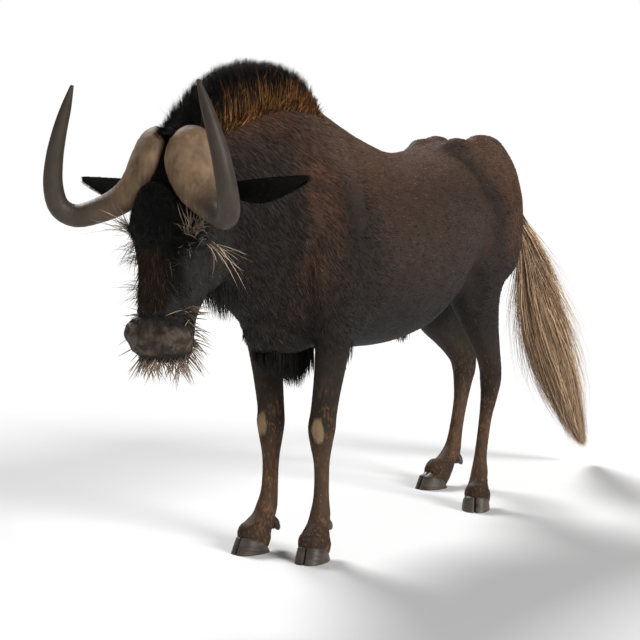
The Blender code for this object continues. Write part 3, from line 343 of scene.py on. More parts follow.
def stepped(rows, steps):
    # a left limb's rows moved inwards and back by the steps of their heights
    if not steps:
        return rows
    height, inward, back = np.array(steps).T
    return [(x - np.interp(z, height, inward), y + np.interp(z, height, back), z, *r) for x, y, z, *r in rows]


# surfaces from arrays
def addObject(name, mesh):
    obj = bpy.data.objects.new(name, mesh)
    scene.collection.objects.link(obj)
    return obj


def gridObject(name, rings, closeEnds=True):
    # rings: array (rows, sides, 3) joined into quads, with a fan over each end
    rings = np.asarray(rings, float)
    rows, sides = rings.shape[:2]
    points = rings.reshape(-1, 3)
    r = np.arange(rows - 1)[:, None]
    s = np.arange(sides)[None, :]
    n = (s + 1) % sides
    corners = [r * sides + s, r * sides + n, (r + 1) * sides + n, (r + 1) * sides + s]
    quads = np.stack(corners, axis=-1).reshape(-1, 4)
    faces = quads.tolist()
    if closeEnds:
        points = np.vstack([points, rings[0].mean(0), rings[-1].mean(0)])
        first, last = rows * sides, rows * sides + 1
        side = np.arange(sides)
        faces += np.stack([(side + 1) % sides, side, np.full(sides, first)], axis=-1).tolist()
        top = (rows - 1) * sides
        faces += np.stack([top + side, top + (side + 1) % sides, np.full(sides, last)], axis=-1).tolist()
    mesh = bpy.data.meshes.new(name)
    mesh.from_pydata(points.tolist(), [], faces)
    mesh.update()
    return addObject(name, mesh)


def superSection(half, middle, low, high, lowPower, highPower, sides):
    # |u/a|^n + |v/b|^n = 1, with its own reach and power above and below the widest line
    angle = np.linspace(0, 2 * np.pi, sides, endpoint=False)
    c, s = np.cos(angle), np.sin(angle)
    power = np.where(s >= 0, highPower, lowPower)
    u = half * np.sign(c) * np.abs(c) ** (2 / power)
    v = middle + np.where(s >= 0, high - middle, middle - low) * np.sign(s) * np.abs(s) ** (2 / power)
    return u, v


def trunkForm():
    # one upright section at each y of the trunk's rows
    rings = []
    for y, top, bottom, half, widest, topPower, lowPower in smoothRows(trunk, 8):
        x, z = superSection(half, widest, bottom, top, lowPower, topPower, 72)
        rings.append(np.stack([x, np.full_like(x, y), z], axis=1))
    return gridObject("trunkForm", rings)


def skullForm():
    # one level section at each z of the skull's rows
    rings = []
    for z, front, back, half, widest, frontPower, backPower in smoothRows(skull, 8):
        x, y = superSection(half, widest, front, back, frontPower, backPower, 72)
        rings.append(np.stack([x, y, np.full_like(x, z)], axis=1))
    return gridObject("skullForm", rings)


def tubeRings(table, side, turnOf, sides, power):
    # sections square to the middle line; the across axis turns outwards by turnOf(z)
    along = unit(np.gradient(table[:, :3] * flipped(side), axis=0))
    turn = turnOf(table[:, 2])
    across = np.stack([np.cos(turn), side * np.sin(turn), np.zeros_like(turn)], axis=1)
    ahead = unit(np.cross(along, across))
    across = np.cross(ahead, along)
    rings = []
    for row, w, f in zip(table, across, ahead):
        u, v = superSection(row[3], 0.0, -row[5], row[4], power, power, sides)
        rings.append(row[:3] * flipped(side) + np.outer(u, w) + np.outer(v, f))
    return rings


def limbForm(name, rows, side, toeOut):
    # a tube along the limb that turns outwards from the elbow down to the knee
    elbow, knee = 0.62, 0.32

    def turnOf(z):
        return toeOut * np.clip((elbow - z) / (elbow - knee), 0, 1)

    return gridObject(name, tubeRings(smoothRows(rows, 8), side, turnOf, 40, 2.2))


def swelling(centre, radii):
    # an ellipsoid: radii times (sin a cos b, sin a sin b, cos a)
    a = np.linspace(0, np.pi, 20)[1:-1]
    b = np.linspace(0, 2 * np.pi, 32, endpoint=False)
    x = radii[0] * np.sin(a)[:, None] * np.cos(b)[None, :]
    y = radii[1] * np.sin(a)[:, None] * np.sin(b)[None, :]
    z = radii[2] * np.cos(a)[:, None] * np.ones_like(b)[None, :]
    return gridObject("swelling", np.stack([x, y, z], axis=-1) + np.array(centre))


def applyAll(obj):
    graph = bpy.context.evaluated_depsgraph_get()
    made = bpy.data.meshes.new_from_object(obj.evaluated_get(graph))
    obj.modifiers.clear()
    obj.data = made


def joinMeshes(name, objects):
    bm = bmesh.new()
    for obj in objects:
        bm.from_mesh(obj.data)
        bpy.data.objects.remove(obj, do_unlink=True)
    mesh = bpy.data.meshes.new(name)
    bm.to_mesh(mesh)
    bm.free()
    return addObject(name, mesh)


def coords(obj):
    co = np.empty(len(obj.data.vertices) * 3)
    obj.data.vertices.foreach_get("co", co)
    return co.reshape(-1, 3)


def vertexNormals(obj):
    no = np.empty(len(obj.data.vertices) * 3)
    obj.data.vertex_normals.foreach_get("vector", no)
    return no.reshape(-1, 3)


def setCoords(obj, co):
    obj.data.vertices.foreach_set("co", np.ascontiguousarray(co).ravel())
    obj.data.update()


def shadeSmooth(obj):
    obj.data.polygons.foreach_set("use_smooth", np.ones(len(obj.data.polygons), bool))


def facesOut(obj):
    bm = bmesh.new()
    bm.from_mesh(obj.data)
    bmesh.ops.recalc_face_normals(bm, faces=bm.faces)
    bm.to_mesh(obj.data)
    bm.free()


# the skin: forms joined, made one shell and smoothed
skinSettings = {
    "voxel": 0.0042,
    "smooth": 68,  # rounds of smoothing
    "faceShare": 0.30,  # faces kept after it
    "coatDepth": 0.0045,  # how far the skin lies below the coat
    "limbDepth": 0.0022,
    "faceDepth": 0.0022,
    "eyeSink": 0.013,
    "dockShare": 0.8,
    "padDrop": {"fore_right": 0.046},  # below the fetlock
    "otherPadDrop": 0.028,
    "padBack": 0.017,
    "padRadii": (0.023, 0.021, 0.019),
}
# Rounded forms on top of the sections: centre and radii, on both sides unless on the middle line
swellings = (
    ((0.054, 0.400, 1.022), (0.045, 0.110, 0.048)),  # hip
    ((0.047, -0.785, 0.765), (0.034, 0.070, 0.080)),  # jaw
    ((0.050, -0.920, 0.602), (0.027, 0.026, 0.028)),  # nostril
    ((0.135, -0.300, 0.600), (0.035, 0.050, 0.060)),  # elbow
    (eye["centre"], (0.026, 0.030, 0.026)),  # eye socket
    ((0.0, -0.919, 0.868), (0.058, 0.026, 0.070)),  # forehead
    ((0.0, -0.410, 0.565), (0.075, 0.150, 0.062)),  # brisket
)


def pathTube(name, rows, sides):
    # a round tube along rows of x, y, z, half width and half depth
    table = np.hstack([rows, rows[:, 4:5]])
    return gridObject(name, tubeRings(table, 1, lambda z: z * 0, sides, 2.0))


def toeWay(side, toeOut):
    return np.array((side * math.sin(toeOut), -math.cos(toeOut), 0.0))


def headMask(p):
    # 1 on the head, 0 on the neck and behind, across a slanting line behind the ears
    return ramp(-(p[:, 1] + 0.16 * (p[:, 2] - 0.8)), 0.70, 0.76)


def bodyForms(s):
    forms = [trunkForm(), skullForm()]
    for name, limb, steps, side, toeOut in limbs:
        rows = stepped(limb, steps)
        forms.append(limbForm(name, rows, side, toeOut))
        # the pad behind the fetlock that carries the dewclaws
        drop = np.array((0, 0, s["padDrop"].get(name, s["otherPadDrop"])))
        pad = np.array(rows[fetlock][:3]) * flipped(side) - toeWay(side, toeOut) * s["padBack"] - drop
        forms.append(swelling(pad, s["padRadii"]))
    dock = smoothRows(tailPath[:5], 8)
    thin = s["dockShare"]
    forms.append(pathTube("dock", dock * np.array((1, 1, 1, thin, thin)), 28))
    for (x, y, z), radii in swellings:
        forms += [swelling((way * x, y, z), radii) for way in ((1, -1) if x else (1,))]
    return forms


def buildSkin(s):
    skin = joinMeshes("skin", bodyForms(s))
    fuse = skin.modifiers.new("fuse", "REMESH")
    fuse.mode = "VOXEL"
    fuse.voxel_size = s["voxel"]
    applyAll(skin)
    # the trunk is smoothed in full, the face and the legs hardly, by a weight in steps of 0.05
    co = coords(skin)
    group = skin.vertex_groups.new(name="soft")
    face = ramp(-co[:, 1], 0.72, 0.80)
    weight = 0.12 + 0.88 * ramp(co[:, 2], 0.40, 0.58) * (1 - 0.9 * face)
    levels = np.round(weight * 20).astype(int)
    for level in np.unique(levels):
        group.add(np.nonzero(levels == level)[0].tolist(), level / 20, "REPLACE")
    soft = skin.modifiers.new("soft", "SMOOTH")
    soft.factor = 0.5
    soft.iterations = s["smooth"]
    soft.vertex_group = "soft"
    thin = skin.modifiers.new("thin", "DECIMATE")
    thin.ratio = s["faceShare"]
    applyAll(skin)
    skin.vertex_groups.clear()
    return skin


skin = buildSkin(skinSettings)
print("skin", len(skin.data.polygons))


def lineWeight(points, line, radius):
    # 1 on the polyline, falling off as a bell over the radius
    nearest = np.full(len(points), 1e9)
    line = np.array(line, float)
    for a, b in zip(line, line[1:]):
        run = b - a
        t = np.clip(((points - a) @ run) / (run @ run), 0, 1)
        nearest = np.minimum(nearest, np.linalg.norm(points - a - t[:, None] * run, axis=1))
    return np.exp(-((nearest / radius) ** 2))


# Raised (+) and sunk (-) strokes of the head and the body: height, width, points for the left side
strokes = [
    (-0.0065, 0.0070, [  # fold over the brow
        (0.0, -0.945, 0.797), (0.030, -0.944, 0.801), (0.052, -0.930, 0.815), (0.072, -0.914, 0.842),
    ]),
    (0.0050, 0.0130, [  # ridge over it
        (0.0, -0.945, 0.822), (0.028, -0.943, 0.825), (0.050, -0.928, 0.842), (0.064, -0.916, 0.868),
    ]),
    (-0.0050, 0.0100, [  # edge of the nose bridge
        (0.066, -0.912, 0.800), (0.056, -0.926, 0.765), (0.054, -0.930, 0.710), (0.056, -0.930, 0.665),
    ]),
    (0.0045, 0.0120, [  # cheekbone
        (0.084, -0.880, 0.770), (0.076, -0.870, 0.735), (0.068, -0.880, 0.690),
    ]),
    (-0.0030, 0.0070, [  # fold under the eye
        (0.090, -0.890, 0.786), (0.094, -0.866, 0.780), (0.090, -0.842, 0.786),
    ]),
    (0.0060, 0.0085, [  # upper eye rim
        (0.082, -0.902, 0.832), (0.097, -0.874, 0.833), (0.097, -0.842, 0.824),
    ]),
    (-0.0070, 0.0065, [  # top edge of the muzzle pad
        (0.0, -0.944, 0.637), (0.040, -0.940, 0.639), (0.064, -0.917, 0.638), (0.077, -0.888, 0.626),
    ]),
    (-0.0065, 0.0060, [  # side edge of the pad
        (0.077, -0.888, 0.626), (0.081, -0.874, 0.604), (0.079, -0.875, 0.578), (0.073, -0.882, 0.558),
    ]),
    (0.0085, 0.0200, [  # swell of the upper lip
        (0.0, -0.948, 0.594), (0.040, -0.944, 0.596), (0.062, -0.926, 0.592), (0.074, -0.900, 0.588),
    ]),
    (-0.0090, 0.0045, [  # nostril
        (0.052, -0.934, 0.622), (0.064, -0.920, 0.616), (0.070, -0.906, 0.602), (0.067, -0.900, 0.590),
    ]),
    (0.0040, 0.0080, [  # rim of the nostril
        (0.046, -0.938, 0.630), (0.066, -0.920, 0.628), (0.077, -0.900, 0.612), (0.078, -0.888, 0.592),
    ]),
    (-0.0060, 0.0040, [  # mouth
        (0.0, -0.946, 0.553), (0.032, -0.942, 0.551), (0.060, -0.918, 0.554),
        (0.072, -0.890, 0.563), (0.070, -0.862, 0.588),
    ]),
    (-0.0040, 0.0110, [  # chin below it
        (0.0, -0.940, 0.540), (0.045, -0.930, 0.540), (0.068, -0.900, 0.545), (0.070, -0.870, 0.552),
    ]),
    (-0.0060, 0.0055, [  # lower edge of the brow pad
        (0.0, -0.944, 0.796), (0.035, -0.940, 0.796), (0.062, -0.918, 0.800), (0.074, -0.900, 0.806),
    ]),
    (0.0040, 0.0090, [  # its rounded edge
        (0.0, -0.948, 0.814), (0.036, -0.942, 0.814), (0.062, -0.920, 0.818),
    ]),
    (-0.0070, 0.0260, [  # hollow before the hip
        (0.069, 0.324, 1.049), (0.113, 0.367, 1.001), (0.150, 0.390, 0.944), (0.175, 0.430, 0.880),
    ]),
    (0.0060, 0.0300, [  # haunch
        (0.155, 0.470, 0.950), (0.178, 0.480, 0.850),
    ]),
    (-0.0060, 0.0200, [  # flank fold
        (0.150, 0.300, 0.700), (0.165, 0.340, 0.640), (0.150, 0.330, 0.600),
    ]),
    (0.0110, 0.0320, [  # shoulder blade
        (0.120, -0.420, 1.000), (0.155, -0.440, 0.900), (0.165, -0.460, 0.800), (0.150, -0.470, 0.720),
    ]),
    (-0.0110, 0.0280, [  # hollow behind the shoulder
        (0.150, -0.330, 0.920), (0.190, -0.340, 0.820), (0.195, -0.320, 0.720), (0.180, -0.290, 0.640),
    ]),
    (-0.0100, 0.0240, [  # hollow before it
        (0.130, -0.530, 0.780), (0.140, -0.520, 0.700), (0.120, -0.500, 0.620),
    ]),
    (0.0040, 0.0100, [  # forearm
        (0.115, -0.400, 0.520), (0.106, -0.400, 0.440),
    ]),
    (-0.0035, 0.0060, [  # fore tendon
        (0.093, -0.348, 0.270), (0.092, -0.350, 0.160),
    ]),
    (-0.0035, 0.0060, [  # hind tendon
        (0.126, 0.490, 0.280), (0.126, 0.455, 0.160),
    ]),
    (-0.0060, 0.0120, [  # hock
        (0.130, 0.520, 0.500), (0.128, 0.525, 0.420),
    ]),
]


def offAxis(p):
    # the same places in axes of their own, so that no pattern runs along x, y or z
    turn = Matrix.Rotation(0.7, 3, "X") @ Matrix.Rotation(0.9, 3, "Y") @ Matrix.Rotation(0.4, 3, "Z")
    return p @ np.array(turn).T


def creases(p, width):
    # 1 along the lines where a noise crosses 0, down to 0 at the width: the lines wander like folds
    return 1 - ramp(np.abs(noise(offAxis(p), 0.016, 5) + 0.3 * noise(offAxis(p), 0.007, 7)), 0.0, width)


def padMask(p):
    # 1 on the bare pad of the muzzle and on the lips in front, 0 elsewhere
    x, y, z = np.abs(p[:, 0]), p[:, 1], p[:, 2]
    return ramp(-y, 0.868, 0.880) * (1 - ramp(z + 0.30 * np.maximum(x - 0.03, 0), 0.626, 0.640))


def refineHead(obj):
    # the face gets four times the faces of the rest
    bm = bmesh.new()
    bm.from_mesh(obj.data)
    bm.faces.ensure_lookup_table()
    edges = set()
    for face in bm.faces:
        c = face.calc_center_median()
        if c.y < -0.70 and c.z < 0.93 and abs(c.x) < 0.13:
            edges.update(face.edges)
    bmesh.ops.subdivide_edges(bm, edges=list(edges), cuts=1, use_grid_fill=False, smooth=0.6)
    bmesh.ops.triangulate(bm, faces=[f for f in bm.faces if len(f.verts) > 3])
    bm.to_mesh(obj.data)
    bm.free()


def eyeAxis(side):
    return unit(np.array(eye["axis"]) * flipped(side))


def eyeCentre(side):
    return np.array(eye["centre"]) * flipped(side)


def leftSide(p):
    # every place brought over to the left side
    q = p.copy()
    q[:, 0] = np.abs(q[:, 0])
    return q


def shapeSkin(obj, s):
    # the skin is moved along its normals: under the coat, by the strokes, by noise, and in at the eyes
    co = coords(obj)
    normal = vertexNormals(obj)
    headness = headMask(co)
    muzzle = headness * padMask(co)
    leg = ramp(-co[:, 2], -0.56, -0.46) * (1 - headness)
    depth = s["coatDepth"] * (1 - leg) + s["limbDepth"] * leg
    depth = depth * (1 - headness) + s["faceDepth"] * headness
    depth *= 1 - muzzle
    folded = leftSide(co)
    rise = -depth
    for amount, radius, line in strokes:
        low = np.min(line, axis=0) - 3 * radius
        high = np.max(line, axis=0) + 3 * radius
        inside = np.all((folded > low) & (folded < high), axis=1)
        rise[inside] += amount * lineWeight(folded[inside], line, radius)
    rise += 0.0014 * noise(co, 0.05, 3) * (1 - headness) * (1 - leg)
    wrinkle = 0.0009 * noise(offAxis(co), 0.010, 6) - 0.0018 * creases(co, 0.14)
    rise += wrinkle * muzzle * ramp(co[:, 2], 0.548, 0.560)
    co = co + normal * rise[:, None]
    for side in (1, -1):
        axis = eyeAxis(side)
        away = co - eyeCentre(side)
        out = away @ axis
        across = np.linalg.norm(away - out[:, None] * axis, axis=1)
        sink = (1 - ramp(across, 0.010, 0.018)) * (out > 0) * (out < 0.06)
        co -= axis * (s["eyeSink"] * sink)[:, None]
    setCoords(obj, co)


refineHead(skin)
shapeSkin(skin, skinSettings)
shadeSmooth(skin)
print("skin shaped", len(skin.data.polygons))


# colours of the coat, the same for skin and tufts
def mix(a, b, t):
    return a + (b - a) * np.asarray(t)[:, None]


def spot(p, centre, radii):
    # a bell round the centre, e to the minus of the squared distance in radii
    return np.exp(-np.sum(((p - np.array(centre)) / np.array(radii)) ** 2, axis=1))


coatTones = {
    "black": (0.0052, 0.0048, 0.0046),
    "front": (0.0190, 0.0160, 0.0142),
    "flank": (0.0450, 0.0285, 0.0212),
    "back": (0.0860, 0.0525, 0.0375),
    "rust": (0.0840, 0.0400, 0.0225),
    "leg": (0.0270, 0.0200, 0.0153),
    "shank": (0.0860, 0.0520, 0.0325),
    "speck": (0.3000, 0.1350, 0.0550),
    "muzzle": (0.0620, 0.0450, 0.0350),
    "callus": (0.2500, 0.1700, 0.0980),
    "cheek": (0.0220, 0.0196, 0.0176),
    "lip": (0.0200, 0.0195, 0.0185),
}
# Where the coat turns rusty: centre, radii, strength, for the left side
rustPatches = (
    ((0.150, -0.460, 0.900), (0.10, 0.060, 0.17), 0.75),  # shoulder
    ((0.160, -0.500, 0.770), (0.10, 0.040, 0.14), 0.55),
    ((0.180, 0.500, 0.860), (0.12, 0.110, 0.20), 0.75),  # haunch
    ((0.150, 0.620, 0.900), (0.14, 0.100, 0.22), 0.80),
    ((0.060, 0.400, 1.060), (0.06, 0.130, 0.04), 0.90),  # hip
    ((0.150, -0.180, 0.960), (0.12, 0.100, 0.10), 0.35),  # ribs
    ((0.050, -0.600, 1.090), (0.06, 0.160, 0.05), 0.85),  # crest
)
# Painted shade: the coat darkened along the hollow before the hip, over nearly the same points as its sunk
# stroke
hipHollowShade = [
    (0.069, 0.324, 1.049),
    (0.113, 0.367, 1.001),
    (0.150, 0.390, 0.944),
    (0.178, 0.436, 0.860),
    (0.172, 0.430, 0.760),
]
calluses = ((0.099, -0.411, 0.322), (-0.085, -0.388, 0.322))  # on the fronts of the knees
callusRadii = (0.016, 0.020, 0.030)


def bodyColour(p, q, tone):
    # from the front's black-brown to the flank and back, with rust, painted shade along the hollow before the
    # hip, and the legs
    _, y, z = q.T
    broad = noise(p, 0.16, 11)
    fine = noise(p, (0.02, 0.05, 0.03), 12)
    headness = headMask(p)
    c = np.repeat(tone["front"], len(p), axis=0)
    flank = ramp(y + 0.10 * broad, -0.46, -0.20) * ramp(z + 0.05 * broad, 0.58, 0.80)
    c = mix(c, tone["flank"], flank)
    upper = ramp(z + 0.04 * broad, 0.90, 1.03) * ramp(y, -0.62, -0.30)
    c = mix(c, tone["back"], upper)
    c = mix(c, tone["flank"], 0.55 * ramp(z, 0.86, 1.06) * ramp(-y, 0.30, 0.50) * (1 - headness))
    rust = np.max([spot(q, centre, radii) * strength for centre, radii, strength in rustPatches], axis=0)
    c = mix(c, tone["rust"], np.clip(rust * (0.8 + 0.5 * fine), 0, 1))
    # painted shade in the hollow before the hip
    c = mix(c, tone["front"], 0.78 * lineWeight(q, hipHollowShade, 0.050))
    under = ramp(-z + 0.04 * broad, -0.62, -0.54) * (y > -0.7) * ramp(y, -0.3, 0.0)
    c = mix(c, tone["front"], 0.8 * under * (z > 0.45))
    thigh = ramp(-z, -0.80, -0.66) * ramp(y, 0.26, 0.34)
    c = mix(c, tone["front"] * 0.9, thigh * 0.8)
    leg = ramp(-z + 0.03 * broad, -0.56, -0.44) * (1 - headness)
    c = mix(c, tone["leg"], leg)
    shank = ramp(-z + 0.03 * broad, -0.36, -0.22) * (1 - headness)
    c = mix(c, tone["shank"], shank * 0.8)
    foot = ramp(-z, -0.13, -0.06) * (1 - headness)
    c = mix(c, tone["leg"], foot * 0.6)
    speck = ramp(noise(p, (0.003, 0.003, 0.006), 15) + 0.35 * noise(p, 0.03, 16), 0.25, 0.75)
    c = mix(c, tone["speck"], speck * 0.40 * ramp(-z, -0.50, -0.30) * (1 - headness))
    for place in calluses:
        callus = np.sum(((p - np.array(place)) / np.array(callusRadii)) ** 2, axis=1)
        c = mix(c, tone["callus"], 1 - ramp(callus + 0.3 * fine, 0.7, 1.2))
    return c


def faceColour(p, q, tone):
    # black down the middle and round the eyes, greyer cheeks, painted shade in the grooves beside the nose
    # bridge, and the blotched pad of the muzzle with painted shade along its creases
    x, y, z = q.T
    face = ramp(-y, 0.86, 0.90)
    darkness = np.maximum(face * ramp(z, 0.66, 0.72), ramp(z, 0.815, 0.86))
    h = mix(np.repeat(tone["cheek"], len(p), axis=0), tone["black"], darkness)
    side = ramp(x, 0.052, 0.068)
    h = mix(h, tone["cheek"], side * (1 - ramp(z, 0.77, 0.80)) * 0.8)
    # painted shade: black down the grooves beside the bridge of the nose
    band = np.exp(-(((x - 0.054) / 0.010) ** 2)) * ramp(z, 0.665, 0.69) * (1 - ramp(z, 0.80, 0.83)) * face
    h = mix(h, tone["black"] * 0.6, band)
    h = mix(h, tone["black"], spot(q, (0.088, -0.872, 0.806), (0.024, 0.030, 0.022)) * 0.9)
    r = offAxis(p)
    blotch = ramp(noise(r, 0.013, 21) + 0.5 * noise(r, 0.005, 22) + 0.2 * noise(r, 0.0025, 23), -0.45, 0.65)
    pad = tone["muzzle"] * (0.60 + 1.0 * blotch)[:, None]
    # painted shade: the pad darkened along its creases, where the skin is also sunk
    pad = mix(pad, tone["lip"] * 0.7, creases(p, 0.10) * 0.55)
    pad = mix(pad, tone["lip"], ramp(-z + 0.15 * x, -0.556, -0.544))
    pad = mix(pad, tone["cheek"], ramp(z + 0.30 * np.maximum(x - 0.03, 0), 0.618, 0.632))
    h = mix(h, tone["cheek"] * 0.85, ramp(-z, -0.690, -0.640))
    return mix(h, pad, padMask(p))


def coatColour(p):
    # the colour of each place, and how bare it is
    tone = {k: np.array(v)[None, :] for k, v in coatTones.items()}
    q = leftSide(p)
    headness = headMask(p)
    c = mix(bodyColour(p, q, tone), faceColour(p, q, tone), headness)
    return np.clip(c, 0.001, 1), headness * padMask(p)


def setColour(obj, colour):
    layer = obj.data.color_attributes.new("coat", "FLOAT_COLOR", "POINT")
    rgba = np.ones((len(colour), 4))
    rgba[:, :3] = colour
    layer.data.foreach_set("color", rgba.ravel())


def setValue(obj, name, values):
    layer = obj.data.attributes.new(name, "FLOAT", "POINT")
    layer.data.foreach_set("value", np.ascontiguousarray(values, dtype=float))


skinColour, bare = coatColour(coords(skin))
setColour(skin, skinColour)
setValue(skin, "bare", bare)


# shaders
class Sock:
    # one node output, with arithmetic that adds Math nodes
    def __init__(self, tree, socket):
        self.tree, self.socket = tree, socket

    def node(self, kind, settings=None, **values):
        # i0, i1 and so on name a socket by its place, From_Min by its name
        made = self.tree.nodes.new(kind)
        for key, value in (settings or {}).items():
            setattr(made, key, value)
        for key, value in values.items():
            numbered = key[0] == "i" and key[1:].isdigit()
            target = made.inputs[int(key[1:]) if numbered else key.replace("_", " ")]
            if isinstance(value, Sock):
                self.tree.links.new(value.socket, target)
            else:
                target.default_value = value
        return made

    def out(self, node, key=0):
        return Sock(self.tree, node.outputs[key])

    def maths(self, operation, a, b=0.0, c=0.0):
        return self.out(self.node("ShaderNodeMath", {"operation": operation}, i0=a, i1=b, i2=c))

    def __add__(self, other):
        return self.maths("ADD", self, other)

    __radd__ = __add__

    def __mul__(self, other):
        return self.maths("MULTIPLY", self, other)

    __rmul__ = __mul__

    def __sub__(self, other):
        return self.maths("SUBTRACT", self, other)

    def __rsub__(self, other):
        return self.maths("SUBTRACT", other, self)

    def clamp(self, low, high):
        # smoothstep from 0 at low to 1 at high
        smooth = {"interpolation_type": "SMOOTHSTEP"}
        return self.out(self.node("ShaderNodeMapRange", smooth, Value=self, From_Min=low, From_Max=high))

    def blend(self, a, b):
        # colours a to b as this value goes from 0 to 1
        made = self.node("ShaderNodeMix", {"data_type": "RGBA"}, i0=self, i6=a, i7=b)
        return Sock(self.tree, made.outputs[2])

    def tinted(self, colour):
        # a colour times this value
        made = self.node("ShaderNodeVectorMath", {"operation": "SCALE"}, i0=colour, Scale=self)
        return self.out(made)


def newMaterial(name, roughness=0.6, specular=0.35):
    mat = bpy.data.materials.new(name)
    mat.use_nodes = True
    tree = mat.node_tree
    shader = tree.nodes["Principled BSDF"]
    shader.inputs["Roughness"].default_value = roughness
    shader.inputs["Specular IOR Level"].default_value = specular
    start = Sock(tree, None)
    place = start.out(start.node("ShaderNodeTexCoord"), "Object")
    return mat, shader, start, place


def feed(start, value, socket):
    start.tree.links.new(value.socket, socket)


def grain(start, place, scale, stretch=(1, 1, 1), detail=3.0):
    # noise of the given scale, finer along the axes with the greater stretch
    drawn = start.out(start.node("ShaderNodeMapping", None, Vector=place, Scale=stretch))
    return start.out(start.node("ShaderNodeTexNoise", None, Vector=drawn, Scale=scale, Detail=detail), "Fac")


def bump(start, height, strength, distance, shader):
    made = start.node("ShaderNodeBump", None, Height=height, Strength=strength, Distance=distance)
    feed(start, start.out(made), shader.inputs["Normal"])


def meshColour(start):
    return start.out(start.node("ShaderNodeVertexColor", {"layer_name": "coat"}), "Color")


def meshValue(start, name):
    return start.out(start.node("ShaderNodeAttribute", {"attribute_name": name}), "Fac")


def coatMaterial(name, roughness, specular, spread=0.5):
    # the mesh's own colours, streaked lighter and darker by the spread
    mat, shader, start, place = newMaterial(name, roughness, specular)
    colour = meshColour(start)
    streak = grain(start, place, 60.0, (1.0, 0.35, 0.6), 4.0)
    feed(start, ((streak - 0.5) * (2 * spread) + 1.0).tinted(colour), shader.inputs["Base Color"])
    return mat, shader, start, place, streak


def skinMaterial():
    mat, shader, start, place, streak = coatMaterial("skin", 0.6, 0.10, 0.35)
    bareness = meshValue(start, "bare")
    feed(start, bareness * -0.10 + 0.66, shader.inputs["Roughness"])
    pores = grain(start, place, 260.0)
    folds = grain(start, place, 70.0, (1.0, 1.0, 1.6), 5.0)
    bump(start, streak * 0.4 + pores * 0.4 + folds * bareness, 0.55, 0.003, shader)
    return mat


skin.data.materials.append(skinMaterial())
coatMat = coatMaterial("coat", 0.55, 0.09, 0.45)[0]


# where each root lies on the bake
def unwrap(p):
    # trunk, head and each leg in a cell of their own: along the part, and round it
    x, y, z = p.T
    u = 0.004 + 0.60 * np.clip((y + 0.90) / 1.70, 0, 1)
    v = 0.004 + 0.985 * (np.arctan2(x, z - 0.80) / (2 * np.pi) + 0.5)
    head = y + 0.16 * (z - 0.8) < -0.72
    turn = np.arctan2(x, -(y + 0.84)) / (2 * np.pi) + 0.5
    u = np.where(head, 0.63 + 0.36 * turn, u)
    v = np.where(head, 0.61 + 0.38 * np.clip((z - 0.50) / 0.60, 0, 1), v)
    for k, (_, limb, steps, side, _) in enumerate(limbs):
        table = np.array(stepped(limb, steps))[::-1]
        middleX = side * np.interp(z, table[:, 2], table[:, 0])
        middleY = np.interp(z, table[:, 2], table[:, 1])
        mine = (z < 0.50) & (np.sign(x) == side) & ((y < 0.1) == (k < 2)) & ~head
        turn = np.arctan2(x - middleX, y - middleY) / (2 * np.pi) + 0.5
        u = np.where(mine, 0.63 + 0.092 * (k + 0.02 + 0.92 * turn), u)
        v = np.where(mine, 0.004 + 0.59 * z / 0.50, v)
    return np.stack([u, v], axis=1)


# tufts, locks and bristles
patch = 0.003  # side of the square that one strand takes on the bake
pieceFaces = 198000  # no piece has more


def strandPoints(path, facing, width, thick, taper):
    # three points a ring: one to each side and one on top, all drawn in to the tip
    n, points = path.shape[:2]
    rings = points - 1
    run = unit(np.gradient(path, axis=1))
    across = unit(np.cross(run, facing[:, None, :]))
    up = np.cross(across, run)
    t = np.linspace(0, 1, points)[None, :rings, None]
    shape = (1 - t**1.6) ** taper * (0.75 + 0.6 * np.minimum(t * 3, 1) * (1 - t))
    wide = across[:, :rings] * (width[:, None, None] * shape)
    high = up[:, :rings] * (thick[:, None, None] * shape)
    ring = path[:, :rings]
    body = np.stack([ring + wide, ring + high, ring - wide], axis=2).reshape(n, rings * 3, 3)
    return np.concatenate([body, path[:, -1:]], axis=1)


def strandFaces(rings):
    # the triangles of one strand, and their corners on a square: round the strand, then along it
    faces, corners = [], []
    for r in range(rings - 1):
        for k in range(3):
            j = (k + 1) % 3
            p0, p1, p2, p3 = r * 3 + j, r * 3 + k, r * 3 + 3 + k, r * 3 + 3 + j
            faces += [(p0, p1, p2), (p0, p2, p3)]
            u0, u1, v0, v1 = (k + 1) / 3, k / 3, r / rings, (r + 1) / rings
            corners += [((u0, v0), (u1, v0), (u1, v1)), ((u0, v0), (u1, v1), (u0, v1))]
    last = (rings - 1) * 3
    for k in range(3):
        j = (k + 1) % 3
        faces.append((last + j, last + k, rings * 3))
        corners.append((((k + 1) / 3, (rings - 1) / rings), (k / 3, (rings - 1) / rings), ((k + 0.5) / 3, 1.0)))
    return np.array(faces), np.array(corners)


